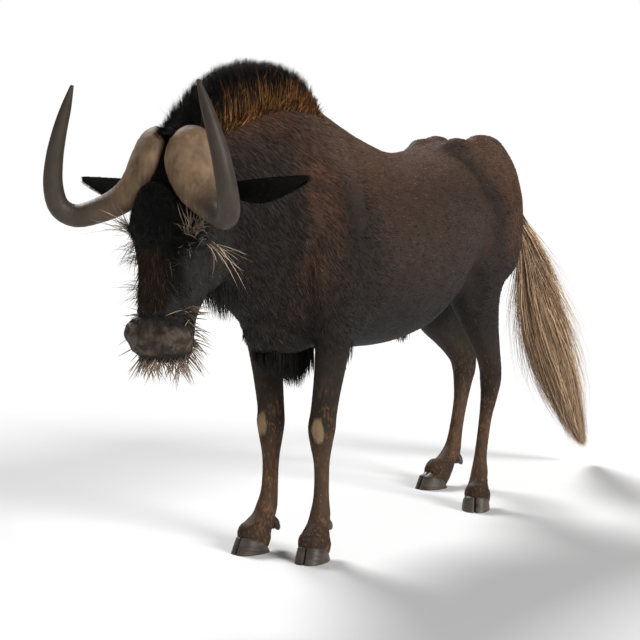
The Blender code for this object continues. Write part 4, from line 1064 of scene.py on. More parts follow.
def strandMesh(name, path, facing, width, thick, colour, mat, taper=0.7):
    # path (n, rings + 1, 3), the last point a tip; colour (n, rings + 1, 3); three-sided, flat below
    n, rings = path.shape[0], path.shape[1] - 1
    verts = strandPoints(path, facing, width, thick, taper)
    per = verts.shape[1]
    faces, corners = strandFaces(rings)
    root = unwrap(path[:, 0])
    made = []
    parts = max(1, -(-n // (pieceFaces // len(faces))))
    for part, rows in enumerate(np.array_split(np.arange(n), parts)):
        m = len(rows)
        mesh = bpy.data.meshes.new(name)
        mesh.vertices.add(m * per)
        mesh.vertices.foreach_set("co", verts[rows].reshape(-1))
        index = (faces[None] + (np.arange(m) * per)[:, None, None]).reshape(-1)
        mesh.loops.add(len(index))
        mesh.loops.foreach_set("vertex_index", index.astype(np.int32))
        mesh.polygons.add(len(index) // 3)
        mesh.polygons.foreach_set("loop_start", np.arange(0, len(index), 3, dtype=np.int32))
        mesh.update(calc_edges=True)
        layer = mesh.uv_layers.new(name="OFBake")
        uv = root[rows][:, None, None, :] + patch * (corners[None] - 0.5)
        layer.data.foreach_set("uv", np.clip(uv, 0.0005, 0.9995).reshape(-1))
        obj = addObject(name + (f"_{part + 1}" if parts > 1 else ""), mesh)
        shadeSmooth(obj)
        rgb = np.concatenate([np.repeat(colour[rows][:, :rings], 3, axis=1), colour[rows][:, -1:]], axis=1)
        setColour(obj, rgb.reshape(-1, 3))
        mesh.materials.append(mat)
        made.append(obj)
    return made


def bentPath(root, heading, length, bend, rings):
    # root + heading t L + bend t^2 L
    t = np.linspace(0, 1, rings + 1)[None, :, None]
    return root[:, None] + (heading[:, None] * t + bend[:, None] * t * t) * length[:, None, None]


def shades(base, n, rings, spread, tip, seed):
    # the base colour of each root, varied from tuft to tuft and lighter or darker at the tip
    chance = np.random.default_rng(seed)
    vary = np.exp(chance.normal(0, spread, n))[:, None, None]
    along = np.linspace(1, tip, rings + 1)[None, :, None]
    return np.clip(base[:, None, :] * vary * along, 0.0005, 1)


fleshPieces = []
share = 1.0


def skinSamples(count, weightOf, seed):
    # points spread over the skin by area and by a weight of the place
    mesh = skin.data
    mesh.calc_loop_triangles()
    tris = np.empty(len(mesh.loop_triangles) * 3, np.int32)
    mesh.loop_triangles.foreach_get("vertices", tris)
    tris = tris.reshape(-1, 3)
    co, normal = coords(skin), vertexNormals(skin)
    a, b, c = co[tris[:, 0]], co[tris[:, 1]], co[tris[:, 2]]
    area = np.linalg.norm(np.cross(b - a, c - a), axis=1) / 2
    weight = area * weightOf((a + b + c) / 3)
    chance = np.random.default_rng(seed)
    count = int(count * share)
    pick = np.searchsorted(np.cumsum(weight) / weight.sum(), chance.random(count))
    u, v = chance.random(count), chance.random(count)
    over = u + v > 1
    u[over], v[over] = 1 - u[over], 1 - v[over]
    w = np.stack([1 - u - v, u, v], axis=1)[:, :, None]
    point = (co[tris[pick]] * w).sum(axis=1)
    return point, unit((normal[tris[pick]] * w).sum(axis=1)), chance


skinTree = BVHTree.FromObject(skin, bpy.context.evaluated_depsgraph_get())


def onSkin(points, towards):
    # where the rays first meet the skin, and its normals there; rays that miss are left out
    hits = [skinTree.ray_cast(Vector(p), Vector(d)) for p, d in zip(points, towards)]
    place = np.array([h[0] if h[0] else p for h, p in zip(hits, points)], float)
    normal = np.array([h[1] if h[1] else -np.array(d) for h, d in zip(hits, towards)], float)
    good = np.array([h[0] is not None for h in hits])
    return place[good], normal[good]


def regions(p):
    head = headMask(p)
    return head, head * padMask(p), ramp(-p[:, 2], -0.58, -0.46) * (1 - head)


# the same places as lines down the knees, where no hair grows
bareCalluses = (
    [(0.099, -0.408, 0.340), (0.096, -0.408, 0.304)],
    [(-0.086, -0.386, 0.340), (-0.084, -0.386, 0.304)],
)


def keepClear(p):
    # 0 inside the roots of the horns, over the eyes and on the knees' calluses, 1 elsewhere
    clear = np.ones(len(p))
    q = leftSide(p)
    for row in smoothRows(hornPath[:6], 6):
        clear *= np.linalg.norm(q - row[:3], axis=1) > row[4] * 1.05
    clear *= np.linalg.norm(q - eyeCentre(1) - 0.018 * eyeAxis(1), axis=1) > 0.0125
    for callus in bareCalluses:
        clear *= lineWeight(p, callus, 0.012) < 0.35
    return clear


def coatDensity(p):
    # closer on the face, none on the muzzle and the hooves
    head, muzzle, leg = regions(p)
    return (1 + 2.8 * head + 0.5 * leg) * (1 - muzzle) * keepClear(p) * (p[:, 2] > 0.05)


def shortCoat(s):
    # flat tufts that lie back along the body, down the legs and down the face
    root, normal, chance = skinSamples(s["count"], coatDensity, s["seed"])
    n = len(root)
    x, y, z = root.T
    head, _, leg = regions(root)
    neck = ramp(-y, 0.15, 0.50) * (1 - head) * (1 - leg)
    chest = 0.4 * ramp(-z, -0.72, -0.60) * ramp(-y, 0.42, 0.52) * (1 - head) * (z > 0.5)
    pad = head * ramp(z, 0.795, 0.81) * ramp(-y, 0.86, 0.90)
    lie = eachRow((0.0, 1.0, -0.10), n)
    lie = mix(lie, np.array((0.0, 0.75, -0.75)), neck)
    lie = mix(lie, np.array((0.0, 0.5, -1.0)), ramp(y, 0.35, 0.60) * ramp(-z, -1.0, -0.9))
    lie = mix(lie, np.array((0.0, 0.05, -1.0)), leg)
    lie = mix(lie, np.array((0.0, 0.35, -1.0)), head)
    lie[:, 0] += 0.6 * np.sign(x) * pad * (np.abs(x) > 0.01)
    lie += np.stack([noise(root, 0.05, 31 + k) for k in range(3)], axis=1) * s["swirl"]
    lie += chance.normal(0, s["stray"], (n, 3))
    lie = unit(lie - normal * np.sum(lie * normal, axis=1)[:, None])
    length = mix(np.full((n, 1), s["body"]), np.array((s["neck"],)), neck)[:, 0]
    length = length * (1 - chest) + s["chest"] * chest
    length = length * (1 - leg) + s["leg"] * leg
    length = length * (1 - head) + (s["face"] + 0.004 * pad) * head
    length *= chance.uniform(0.7, 1.25, n)
    lift = np.radians(s["lift"] + 8 * neck + 10 * chest + 22 * pad + chance.normal(0, 3, n))
    heading = lie * np.cos(lift)[:, None] + normal * np.sin(lift)[:, None]
    bend = -normal * (np.sin(lift) * 0.75)[:, None]
    path = bentPath(root - normal * 0.0008, heading, length, bend, s["rings"])
    width = (s["width"] * (1 - 0.40 * np.maximum(head, leg)) + 0.0004 * chest) * chance.uniform(0.8, 1.2, n)
    colour, _ = coatColour(root)
    warm = leg * ramp(-z, -0.50, -0.25) * (noise(root, 0.05, 17) * 0.35 + 0.26)
    fleck = (chance.random(n) < warm) * chance.uniform(0.3, 1.0, n)
    colour = mix(colour, np.array([coatTones["speck"]]), fleck)
    colour = colour * np.exp(chance.normal(0, 0.55, n) * head)[:, None]
    rgb = shades(colour, n, s["rings"], s["spread"], s["tip"], s["seed"])
    return strandMesh("short_coat", path, normal, width, width * 0.55, rgb, coatMat)


coat = {
    "count": 112000,
    "seed": 21,
    "rings": 2,
    "body": 0.017,  # lengths by region
    "neck": 0.023,
    "chest": 0.028,
    "leg": 0.010,
    "face": 0.012,
    "lift": 11,  # degrees off the skin
    "width": 0.00105,
    "swirl": 0.28,
    "stray": 0.10,
    "spread": 0.40,  # of the shades from tuft to tuft
    "tip": 1.7,  # how much lighter the tips are
}
fleshPieces += shortCoat(coat)
print("short coat", len(fleshPieces), "pieces")


# standing mane
# Mane: y, z of the tips, half width at the roots and at the tips
maneProfile = [
    (-0.862, 1.020, 0.020, 0.010),
    (-0.846, 1.052, 0.034, 0.018),
    (-0.788, 1.119, 0.046, 0.026),
    (-0.731, 1.167, 0.050, 0.028),
    (-0.653, 1.204, 0.052, 0.028),
    (-0.572, 1.222, 0.052, 0.027),
    (-0.468, 1.222, 0.048, 0.024),
    (-0.381, 1.196, 0.040, 0.019),
    (-0.320, 1.158, 0.026, 0.012),
    (-0.285, 1.130, 0.010, 0.006),
]
mane = {
    "count": 15000,
    "seed": 3,
    "rings": 4,
    "width": 0.0009,
    "tuft": 0.0095,
    "gold": (0.42, 0.185, 0.045),
    "rust": (0.12, 0.050, 0.020),
    "goldShare": 0.62,
    "glintShare": 0.10,
}


def standingMane(s):
    # strands from the crest to the profile, fanned out sideways, rusty to golden low on both sides
    chance = np.random.default_rng(s["seed"])
    n = int(s["count"] * share)
    rows = smoothRows(maneProfile, 6)
    crestRows = smoothRows(trunk, 8)
    y = chance.uniform(-0.858, -0.292, n)
    tips, rootHalf, tipHalf = (np.interp(y, rows[:, 0], rows[:, c]) for c in (1, 2, 3))
    crest = np.maximum(np.interp(y, crestRows[:, 0], crestRows[:, 1]), np.where(y < -0.775, 1.030, 0))
    aside = chance.uniform(-1, 1, n)
    x = aside * rootHalf * 0.92
    drop = (1 - np.sqrt(np.clip(1 - aside**2 * 0.75, 0, 1))) * 0.055
    root = np.stack([x, y, crest - 0.010 - drop], axis=1)
    ragged = np.where(chance.random(n) < 0.55, chance.uniform(0.93, 1.0, n), chance.uniform(0.55, 0.95, n))
    lean = np.interp(y, (-0.86, -0.78, -0.55, -0.40, -0.30), (-0.036, -0.012, 0.004, 0.020, 0.010))
    lean = lean + chance.normal(0, 0.007, n)
    tipX = aside * (tipHalf + 0.004) + chance.normal(0, 0.004, n)
    rounded = 1 - 0.20 * np.abs(aside) ** 3
    high = crest + (tips - crest) * ragged * rounded * (1 - 0.35 * ramp(y, -0.38, -0.30)) + 0.004
    # strands that grow near each other share a tip
    cell, cellX = np.floor(y / s["tuft"]), np.floor(aside * 5)
    own = chance.random((4096, 3))[(cell * 37 + cellX * 11).astype(int) % 4096]
    tipY = y + (cell * s["tuft"] + own[:, 0] * s["tuft"] - y) * 0.85 + lean + (own[:, 2] - 0.5) * 0.022
    tipX += ((cellX + own[:, 1]) / 5 - aside) * tipHalf * 0.7
    high = crest + (high + 0.007 - crest) * (0.88 + 0.14 * own[:, 0])
    tip = np.stack([tipX, tipY, high], axis=1)
    t = np.linspace(0, 1, s["rings"] + 1)[None, :, None]
    bulge = np.stack([aside * 0.007, -0.4 * lean, np.zeros(n)], axis=1)
    path = root[:, None] * (1 - t) + tip[:, None] * t + bulge[:, None] * 4 * t * (1 - t)
    facing = unit(np.stack([aside + 1e-3, np.full(n, 0.2), np.zeros(n)], axis=1))
    black = np.array(coatTones["black"])
    golden = ramp(y, -0.810, -0.700) * ramp(np.abs(aside), 0.15, 0.5)
    golden *= chance.random(n) < s["goldShare"]
    warm = np.array(s["rust"]) + (np.array(s["gold"]) - np.array(s["rust"])) * chance.random(n)[:, None] ** 2.4
    along = np.repeat(t[:, :, 0], n, axis=0)
    stop = chance.uniform(0.15, 0.62, n)[:, None] + 0.12 * ramp(y, -0.55, -0.35)[:, None]
    fade = 1 - ramp(along - stop, -0.06, 0.10)
    glint = (chance.random(n) < s["glintShare"])[:, None] * (1 - ramp(np.abs(along - 0.75), 0.0, 0.14))
    gilt = np.maximum(golden[:, None] * fade, glint * golden[:, None])[:, :, None]
    colour = black[None, None] + (warm[:, None] - black[None, None]) * gilt
    colour = colour * np.exp(chance.normal(0, 0.3, n))[:, None, None]
    width = s["width"] * chance.uniform(0.7, 1.3, n)
    return strandMesh("mane", path, facing, width, width * 0.6, colour, coatMat, 0.6)


maneFootLook = {
    "count": 6000,
    "seed": 5,
    "rings": 3,
    "width": 0.0008,
    "start": 0.016,  # distance of the band of roots from the middle line, and its width
    "band": 0.036,
    "gold": (0.46, 0.20, 0.050),
    "rust": (0.075, 0.030, 0.012),
}


def maneFoot(s):
    # short rusty and golden hair that blends the mane into the neck
    chance = np.random.default_rng(s["seed"])
    n = int(s["count"] * share)
    crestRows = smoothRows(trunk, 8)
    y = chance.uniform(-0.80, -0.30, n)
    crest = np.interp(y, crestRows[:, 0], crestRows[:, 1])
    side = np.where(chance.random(n) < 0.5, -1.0, 1.0)
    low = chance.random(n)
    start = np.stack([side * (s["start"] + s["band"] * low), y, crest + 0.3], axis=1)
    root, normal = onSkin(start, eachRow((0.0, 0.0, -1.0), n))
    n = len(root)
    y, side = root[:, 1], np.sign(root[:, 0])
    low = np.clip((np.abs(root[:, 0]) - s["start"]) / s["band"], 0, 1)
    fan = np.interp(y, (-0.80, -0.60, -0.32), (-0.45, 0.0, 0.25))
    upward = np.stack([side * (0.12 + 0.25 * low), fan, np.full(n, 1.0)], axis=1)
    heading = unit(upward + chance.normal(0, 0.28, (n, 3)))
    length = (0.052 - 0.034 * low) * chance.uniform(0.6, 1.25, n) * (1 - 0.45 * ramp(y, -0.42, -0.32))
    path = bentPath(root - normal * 0.001, heading, length, chance.normal(0, 0.25, (n, 3)), s["rings"])
    warm = chance.random(n)[:, None] ** 3
    rust, gold = np.array(s["rust"]), np.array(s["gold"])
    base = rust + (gold - rust) * warm
    base = mix(base, np.array(coatTones["black"]), (chance.random(n) < 0.42 + 0.4 * ramp(-y, 0.70, 0.80)) * 0.9)
    rgb = shades(base, n, s["rings"], 0.45, 1.0, s["seed"])
    width = s["width"] * chance.uniform(0.7, 1.3, n)
    return strandMesh("mane_foot", path, normal, width, width * 0.6, rgb, coatMat, 0.7)


fleshPieces += standingMane(mane) + maneFoot(maneFootLook)
print("mane")


# hanging fringes
def hangingHair(name, s):
    # roots spread over a patch of the underside, hanging to a line of tips
    chance = np.random.default_rng(s["seed"])
    n = int(s["count"] * share)
    t = chance.random(n)
    rows = np.array(s["rows"], float)
    key = np.linspace(0, 1, len(rows))
    y, half, tipY, tipZ = (np.interp(t, key, rows[:, c]) for c in range(4))
    inner = s.get("inner", 0.0)
    x = np.where(chance.random(n) < 0.5, -1, 1) * (inner + (half - inner) * chance.random(n))
    upward = Vector((0, 0, 1))
    hits = [skinTree.ray_cast(Vector((px, py, rayFoot)), upward)[0] for px, py in zip(x, y)]
    root = np.array([hit or (px, py, tipZ.max()) for hit, px, py in zip(hits, x, y)])
    reach = chance.uniform(0.45, 1.0, n) ** 0.8
    tipX = x * s["gather"] + chance.normal(0, 0.004, n)
    tip = np.stack([tipX, tipY + chance.normal(0, 0.006, n), tipZ], axis=1)
    tip = root + (tip - root) * reach[:, None]
    root[:, 2] += 0.004
    u = np.linspace(0, 1, s["rings"] + 1)[None, :, None]
    bulge = np.stack([np.clip(x * 0.12, -0.003, 0.003), chance.normal(-0.004, 0.005, n), np.zeros(n)], axis=1)
    path = root[:, None] * (1 - u) + tip[:, None] * u + bulge[:, None] * 4 * u * (1 - u)
    facing = np.stack([x * 6, np.full(n, -0.6), np.full(n, 0.1)], axis=1)
    facing = unit(facing + chance.normal(0, 0.3, (n, 3)))
    width = s["width"] * chance.uniform(0.7, 1.3, n)
    rgb = shades(eachRow(s["tone"], n), n, s["rings"], 0.35, s["tip"], s["seed"] + 1)
    return strandMesh(name, path, facing, width, width * 0.6, rgb, coatMat)


rayFoot = 0.40  # height from which the roots are looked for
# Fringes, with rows of root y, half width, tip y, tip z
fringes = {
    "chest_fringe": {
        "rows": [
            (-0.500, 0.030, -0.490, 0.474),
            (-0.440, 0.032, -0.424, 0.438),
            (-0.380, 0.030, -0.362, 0.410),
            (-0.310, 0.032, -0.300, 0.446),
        ],
        "count": 1200,
        "seed": 41,
        "rings": 4,
        "gather": 0.75,
        "width": 0.0013,
        "tone": (0.0075, 0.0068, 0.0062),
        "tip": 1.6,
    },
    "throat_fringe": {
        "rows": [
            (-0.735, 0.020, -0.722, 0.650),
            (-0.700, 0.030, -0.694, 0.606),
            (-0.640, 0.030, -0.640, 0.600),
        ],
        "count": 330,
        "seed": 47,
        "rings": 4,
        "gather": 0.8,
        "width": 0.0009,
        "tone": (0.0140, 0.0125, 0.0110),
        "tip": 2.0,
    },
    "elbow_hair": {
        "rows": [
            (-0.330, 0.134, -0.332, 0.468),
            (-0.300, 0.138, -0.300, 0.484),
        ],
        "count": 220,
        "seed": 53,
        "rings": 3,
        "gather": 1.0,
        "inner": 0.085,  # how far out from the middle line it starts
        "width": 0.0010,
        "tone": (0.0150, 0.0130, 0.0115),
        "tip": 1.6,
    },
    "belly_tuft": {
        "rows": [
            (0.150, 0.010, 0.160, 0.500),
            (0.180, 0.016, 0.184, 0.480),
            (0.212, 0.010, 0.206, 0.500),
        ],
        "count": 130,
        "seed": 59,
        "rings": 4,
        "gather": 0.6,
        "width": 0.0012,
        "tone": (0.0100, 0.0088, 0.0080),
        "tip": 1.6,
    },
}
for name, fringe in fringes.items():
    fleshPieces += hangingHair(name, fringe)
print("fringes")


# brush of the nose, bristles and whiskers
brush = {
    "count": 2600,
    "seed": 61,
    "rings": 3,
    "width": 0.0009,
    "top": 0.798,
    "foot": 0.672,
    "tone": (0.0190, 0.0125, 0.0090),
}


def noseBrush(s):
    # a narrow mat of hair down the bridge of the nose, parted to both sides
    chance = np.random.default_rng(s["seed"])
    n = int(s["count"] * share)
    z = chance.uniform(s["foot"], s["top"], n)
    x = np.clip(chance.normal(0, 0.016, n), -0.030, 0.034)
    start = np.stack([x, np.full(n, -1.2), z], axis=1)
    root, normal = onSkin(start, eachRow((0.0, 1.0, 0.0), n))
    n, x, z = len(root), root[:, 0], root[:, 2]
    outward = np.clip(x / 0.045, -1, 1)
    wild = chance.random(n) ** 2
    sideways = 0.30 * outward + chance.normal(0, 0.20, n)
    heading = unit(np.stack([sideways, -0.10 - 0.22 * wild, np.full(n, -0.90)], axis=1))
    length = chance.uniform(0.020, 0.046, n) * (1 - 0.35 * ramp(-z, -0.70, -0.67))
    bend = np.stack([0.25 * outward, np.full(n, 0.10), -0.10 * np.ones(n)], axis=1)
    path = bentPath(root - normal * 0.001, heading, length, bend, s["rings"])
    width = s["width"] * chance.uniform(0.7, 1.3, n)
    base = eachRow(s["tone"], n) * (0.5 + 0.9 * wild[:, None])
    rgb = shades(base, n, s["rings"], 0.45, 1.3, s["seed"])
    return strandMesh("nose_brush", path, normal, width, width * 0.6, rgb, coatMat)


wisps = {
    "count": 90,
    "seed": 63,
    "heights": ((0.765, 0.010), (0.700, 0.014)),  # the two tufts: height and scatter
    "reach": (0.022, 0.060),
    "width": 0.00042,
    "tone": (0.030, 0.026, 0.023),
}


def noseWisps(side, s):
    # long thin hairs that stand off the side of the bridge of the nose
    chance = np.random.default_rng(s["seed"] + side)
    n = int(s["count"] * share)
    z = np.where(chance.random(n) < 0.5, *(chance.normal(*tuft, n) for tuft in s["heights"]))
    start = np.stack([np.full(n, side * 0.4), chance.uniform(-0.930, -0.900, n), z], axis=1)
    root, normal = onSkin(start, eachRow((-side, 0.0, 0.0), n))
    n = len(root)
    heading = unit(np.array((side * 1.0, -0.55, -0.15)) + chance.normal(0, 0.30, (n, 3)))
    length = chance.uniform(*s["reach"], n)
    bend = chance.normal(0, 0.15, (n, 3)) + np.array((0, 0, -0.25))
    path = bentPath(root - normal * 0.001, heading, length, bend, 3)
    rgb = shades(eachRow(s["tone"], n), n, 3, 0.5, 1.5, s["seed"] + 2)
    width = np.full(n, s["width"])
    return strandMesh(f"nose_wisps_{hand[side]}", path, normal, width, width * 0.7, rgb, coatMat)


fleshPieces += noseBrush(brush) + noseWisps(1, wisps) + noseWisps(-1, wisps)
bristleTones = {"root": (0.060, 0.043, 0.032), "tip": (0.300, 0.225, 0.160)}


def bristles(name, root, normal, heading, length, bend, width, chance, pale=1.0, rings=4):
    # stiff single hairs, nearly round, dark at the root and pale from half way
    n = len(root)
    path = bentPath(root - heading * 0.003, unit(heading), length, bend, rings)
    t = np.linspace(0, 1, rings + 1)[None, :, None]
    low, high = np.array(bristleTones["root"]), np.array(bristleTones["tip"]) * pale
    colour = low + (high - low) * np.minimum(t * 1.8, 1) * np.exp(chance.normal(0, 0.4, n))[:, None, None]
    facing, wide = unit(normal + 0.01), np.full(n, width)
    return strandMesh(name, path, facing, wide, wide * 0.9, np.clip(colour, 0, 1), coatMat, 0.32)


muzzleRing = {"count": 760, "seed": 67, "foot": 0.545, "top": 0.660, "reach": (0.030, 0.066), "width": 0.00130}


def muzzleBristles(s):
    # bristles on the sides and under the lip, found by level rays in towards the middle of the muzzle
    chance = np.random.default_rng(s["seed"])
    n = int(s["count"] * max(share, 0.5))
    z = chance.uniform(s["foot"], s["top"], n)
    z = np.where(chance.random(n) < 0.17, chance.uniform(0.532, 0.548, n), z)
    reach = np.interp(z, (0.54, 0.60, 0.655), (150, 125, 125))
    angle = np.radians(chance.uniform(-1, 1, n) * reach)
    keep = (np.abs(angle) > np.radians(88)) | (z < 0.548)
    angle, z = angle[keep], z[keep]
    n = len(z)
    out = np.stack([np.sin(angle), -np.cos(angle), np.zeros(n)], axis=1)
    start = np.stack([np.zeros(n), np.full(n, -0.890), z], axis=1) + out * 0.3
    root, normal = onSkin(start, -out)
    n = len(root)
    out, z = out[:n], root[:, 2]
    down = np.interp(z, (0.54, 0.58, 0.65), (1.30, 0.60, -0.05))
    lean = np.stack([np.zeros(n), -0.5 * (z > 0.548), -down], axis=1)
    heading = unit(out + normal * 0.4 + lean + chance.normal(0, 0.30, (n, 3)))
    length = chance.uniform(*s["reach"], n)
    bend = chance.normal(0, 0.07, (n, 3)) + np.array((0, 0, -0.08))
    return bristles("muzzle_bristles", root, normal, heading, length, bend, s["width"], chance)


# Round the eyes. The roots are given as x and z and found from the front, or as y and z and found from
# the side; the way is the left tuft's
eyeTufts = {
    "brow_bristles": {
        "count": 56,
        "view": "front",
        "middle": (0.089, 0.822),
        "scatter": (0.007, 0.006),
        "way": (0.30, -0.50, 0.75),
        "reach": (0.035, 0.085),
        "droop": -0.05,
        "pale": 1.0,
    },
    "low_bristles": {
        "count": 10,
        "view": "front",
        "middle": (0.074, 0.792),
        "scatter": (0.008, 0.006),
        "way": (0.45, -0.80, -0.40),
        "reach": (0.020, 0.045),
        "droop": -0.05,
        "pale": 1.0,
    },
    "whiskers": {
        "count": 14,
        "view": "side",
        "middle": (-0.846, 0.800),
        "scatter": (0.005, 0.004),
        "way": (0.90, 0.10, -0.25),
        "reach": (0.060, 0.105),
        "droop": -0.45,
        "pale": 1.9,
    },
}
eyeTuftLook = {"seed": 71, "width": 0.00085, "stray": 0.34, "curl": 0.24}


def eyeBristles(side, s):
    made = []
    chance = np.random.default_rng(s["seed"] + side)
    for name, tuft in eyeTufts.items():
        count = tuft["count"]
        a, z = (mid + chance.normal(0, by, count) for mid, by in zip(tuft["middle"], tuft["scatter"]))
        if tuft["view"] == "side":
            start = np.stack([np.full(count, side * 0.4), a, z], axis=1)
            root, normal = onSkin(start, eachRow((-side, 0.0, 0.0), count))
        else:
            start = np.stack([side * a, np.full(count, -1.2), z], axis=1)
            root, normal = onSkin(start, eachRow((0.0, 1.0, 0.0), count))
        near = root[:, 1] < -0.80  # a ray past the face would end on the neck
        root, normal = root[near], normal[near]
        n = len(root)
        way = np.array(tuft["way"]) * flipped(side)
        heading = unit(way + chance.normal(0, s["stray"], (n, 3)) + normal * 0.3)
        length = chance.uniform(*tuft["reach"], n)
        bend = chance.normal(0, s["curl"], (n, 3)) + np.array((0, 0, tuft["droop"]))
        title = f"{name}_{hand[side]}"
        made += bristles(title, root, normal, heading, length, bend, s["width"], chance, tuft["pale"])
    return made


fleshPieces += muzzleBristles(muzzleRing) + eyeBristles(1, eyeTuftLook) + eyeBristles(-1, eyeTuftLook)
print("brush and bristles")


# tail
tail = {
    "count": 3600,
    "seed": 81,
    "rings": 8,
    "width": 0.0012,
    "from": 1.3,  # the tail row where the hair starts
    "blond": (0.62, 0.425, 0.260),
    "brown": (0.150, 0.080, 0.040),
    "stray": 0.0022,  # sideways wander from ring to ring
}


def tailHair(s):
    # each strand runs along the tail's middle line, at its own angle and reach from it
    chance = np.random.default_rng(s["seed"])
    n = int(s["count"] * max(share, 0.3))
    table = np.array(tailPath)
    along = np.gradient(table[:, :3], axis=0)
    order = np.sort(chance.random(n))
    start = s["from"] + 6.6 * order**1.15
    end = np.minimum(chance.uniform(9.6, 11.0, n), start + chance.uniform(2.6, 6.5, n))
    angle = chance.uniform(0, 2 * np.pi, n)
    outer = chance.random(n) ** 0.5
    wild = chance.random(n) ** 4
    key = np.arange(len(table))
    t = np.linspace(0, 1, s["rings"] + 1)
    path = []
    for u in t:
        row = start + (end - start) * u
        at = [np.interp(row, key, table[:, c]) for c in range(5)]
        run = unit(np.stack([np.interp(row, key, along[:, c]) for c in range(3)], axis=1))
        across = unit(np.array((1.0, 0, 0)) - run * run[:, :1])
        behind = np.cross(run, across)
        opened = np.interp(u, (0, 0.2, 0.6, 1), (0.28, 0.70, 1.0, 1.0))
        reach = opened * (0.35 + 0.65 * outer) + 1.25 * wild * u * u
        swing = angle + 0.35 * np.sin(2.5 * u + 6 * order)
        aside = across * (at[3] * reach * np.cos(swing))[:, None]
        back = behind * (at[4] * reach * np.sin(swing))[:, None]
        path.append(np.stack(at[:3], axis=1) + aside + back)
    path = np.stack(path, axis=1)
    path += np.cumsum(chance.normal(0, s["stray"], path.shape), axis=1) * t[None, :, None]
    facing = unit(across * np.cos(angle)[:, None] + behind * np.sin(angle)[:, None])
    # the darker strands lie over the upper and outer side
    dark = ramp(np.cos(angle - 2.2) + 0.5 * chance.normal(0, 1, n), 0.35, 0.9) * 0.9
    dark = np.maximum(dark, (chance.random(n) < 0.12) * 0.8)
    blond, brown = np.array(s["blond"]), np.array(s["brown"])
    base = blond + (brown - blond) * dark[:, None]
    colour = shades(base, n, s["rings"], 0.20, 1.0, s["seed"])
    young = 1 - ramp(start[:, None] + (end - start)[:, None] * t[None], 1.5, 2.6)
    root = np.array(coatTones["leg"])
    colour = colour + (root - colour) * young[:, :, None]
    width = s["width"] * chance.uniform(0.6, 1.4, n)
    return strandMesh("tail_strands", path, facing, width, width * 0.5, colour, tailMat, 0.5)


tailMat = coatMaterial("tail", 0.5, 0.30, 0.30)[0]
tailPieces = tailHair(tail)


def tailCore(s):
    # a tube inside the hair that closes the view between the strands
    rows = smoothRows(tailPath, 6)
    key = np.arange(len(rows)) / 6
    rows[:, 3:] *= np.interp(key, (0.0, 2.2, 3.5, 7.0, 9.5), (1.0, 0.85, 0.55, 0.40, 0.08))[:, None]
    obj = pathTube("tail_core", rows[(key > 1.2) & (key <= 9.5)], 24)
    pale = ramp(-coords(obj)[:, 2], -0.84, -0.76)
    leg = np.array(coatTones["leg"])
    setColour(obj, leg + (np.array(s["brown"]) * 1.3 - leg) * pale[:, None])
    obj.data.materials.append(tailMat)
    shadeSmooth(obj)
    return obj


tailPieces.append(tailCore(tail))
print("tail")

# horns
hornLook = {
    "rings": 14,  # sections from one row of the path to the next
    "sides": 48,
    "bossFaces": (0.56, -0.78, 0.28),  # the way the flat of the boss looks
    "tan": (0.170, 0.108, 0.062),
    "grey": (0.050, 0.038, 0.028),
}


def hornObject(side, s):
    # oval sections square to the path, rough on the boss and ringed on the shaft
    rows = smoothRows(hornPath, s["rings"])
    along = np.gradient(rows[:, :3], axis=0)
    face = np.array(s["bossFaces"])
    rings = []
    key = np.arange(len(rows)) / s["rings"]
    for row, run in zip(rows, along):
        run = unit(run)
        face = unit(face - run * (face @ run))
        across = np.cross(face, run)
        u, v = superSection(row[3], 0.0, -row[4], row[4], 2.0, 2.0, s["sides"])
        rings.append(row[:3] + np.outer(u, across) + np.outer(v, face))
    rings = np.array(rings)
    out = unit(rings - rows[:, None, :3])
    boss = 1 - ramp(key, 3.0, 6.0)
    flat = rings.reshape(-1, 3)
    rough = 0.0012 * noise(flat, 0.020, 51) + 0.0008 * noise(flat, (0.004, 0.004, 0.018), 52)
    ridge = 0.00018 * np.sin(key * 2 * np.pi * 3.2) * ramp(key, 3.5, 5.0) * (1 - ramp(key, 8.0, 9.5))
    rings = rings + out * (rough.reshape(rings.shape[:2]) * boss[:, None] + ridge[:, None])[:, :, None]
    tone = noise(flat, 0.026, 53)[:, None] * 0.38 + noise(flat, (0.004, 0.004, 0.022), 54)[:, None] * 0.32
    tan, grey = np.array(s["tan"]), np.array(s["grey"])
    way = np.repeat(ramp(key, 3.6, 7.0), s["sides"])[:, None]
    colour = (tan + (grey - tan) * way) * (1 + tone * (1 - 0.6 * way))
    low = np.repeat(1 - ramp(key, 0.0, 1.0), s["sides"])[:, None]
    colour = colour * (1 - 0.5 * low)
    obj = gridObject("horn" + hand[side].title(), rings * flipped(side))
    setColour(obj, np.vstack([colour, colour[:1], colour[-1:]]))
    setValue(obj, "shaft", np.append(np.repeat(ramp(key, 4.0, 7.5), s["sides"]), (0, 1)))
    obj.data.materials.append(hornMat)
    shadeSmooth(obj)
    return obj


def hornMaterial():
    mat, shader, start, place, _ = coatMaterial("horn", 0.45, 0.25, 0.25)
    fibre = grain(start, place, 90.0, (1.0, 1.0, 0.25), 6.0)
    pits = grain(start, place, 220.0, (1, 1, 1), 4.0)
    feed(start, meshValue(start, "shaft") * -0.12 + fibre * 0.2 + 0.52, shader.inputs["Roughness"])
    bump(start, fibre * 0.7 + pits * 0.3, 0.45, 0.0022, shader)
    return mat


hornMat = hornMaterial()
horns = [hornObject(1, hornLook), hornObject(-1, hornLook)]


# ears
earLook = {
    "sides": 22,  # points of the back of each section
    "hollow": 0.62,  # depth of the cup as a share of the ear's
    "lip": 0.94,
    "tone": (0.0045, 0.0040, 0.0038),
    "speck": (0.050, 0.030, 0.016),
}


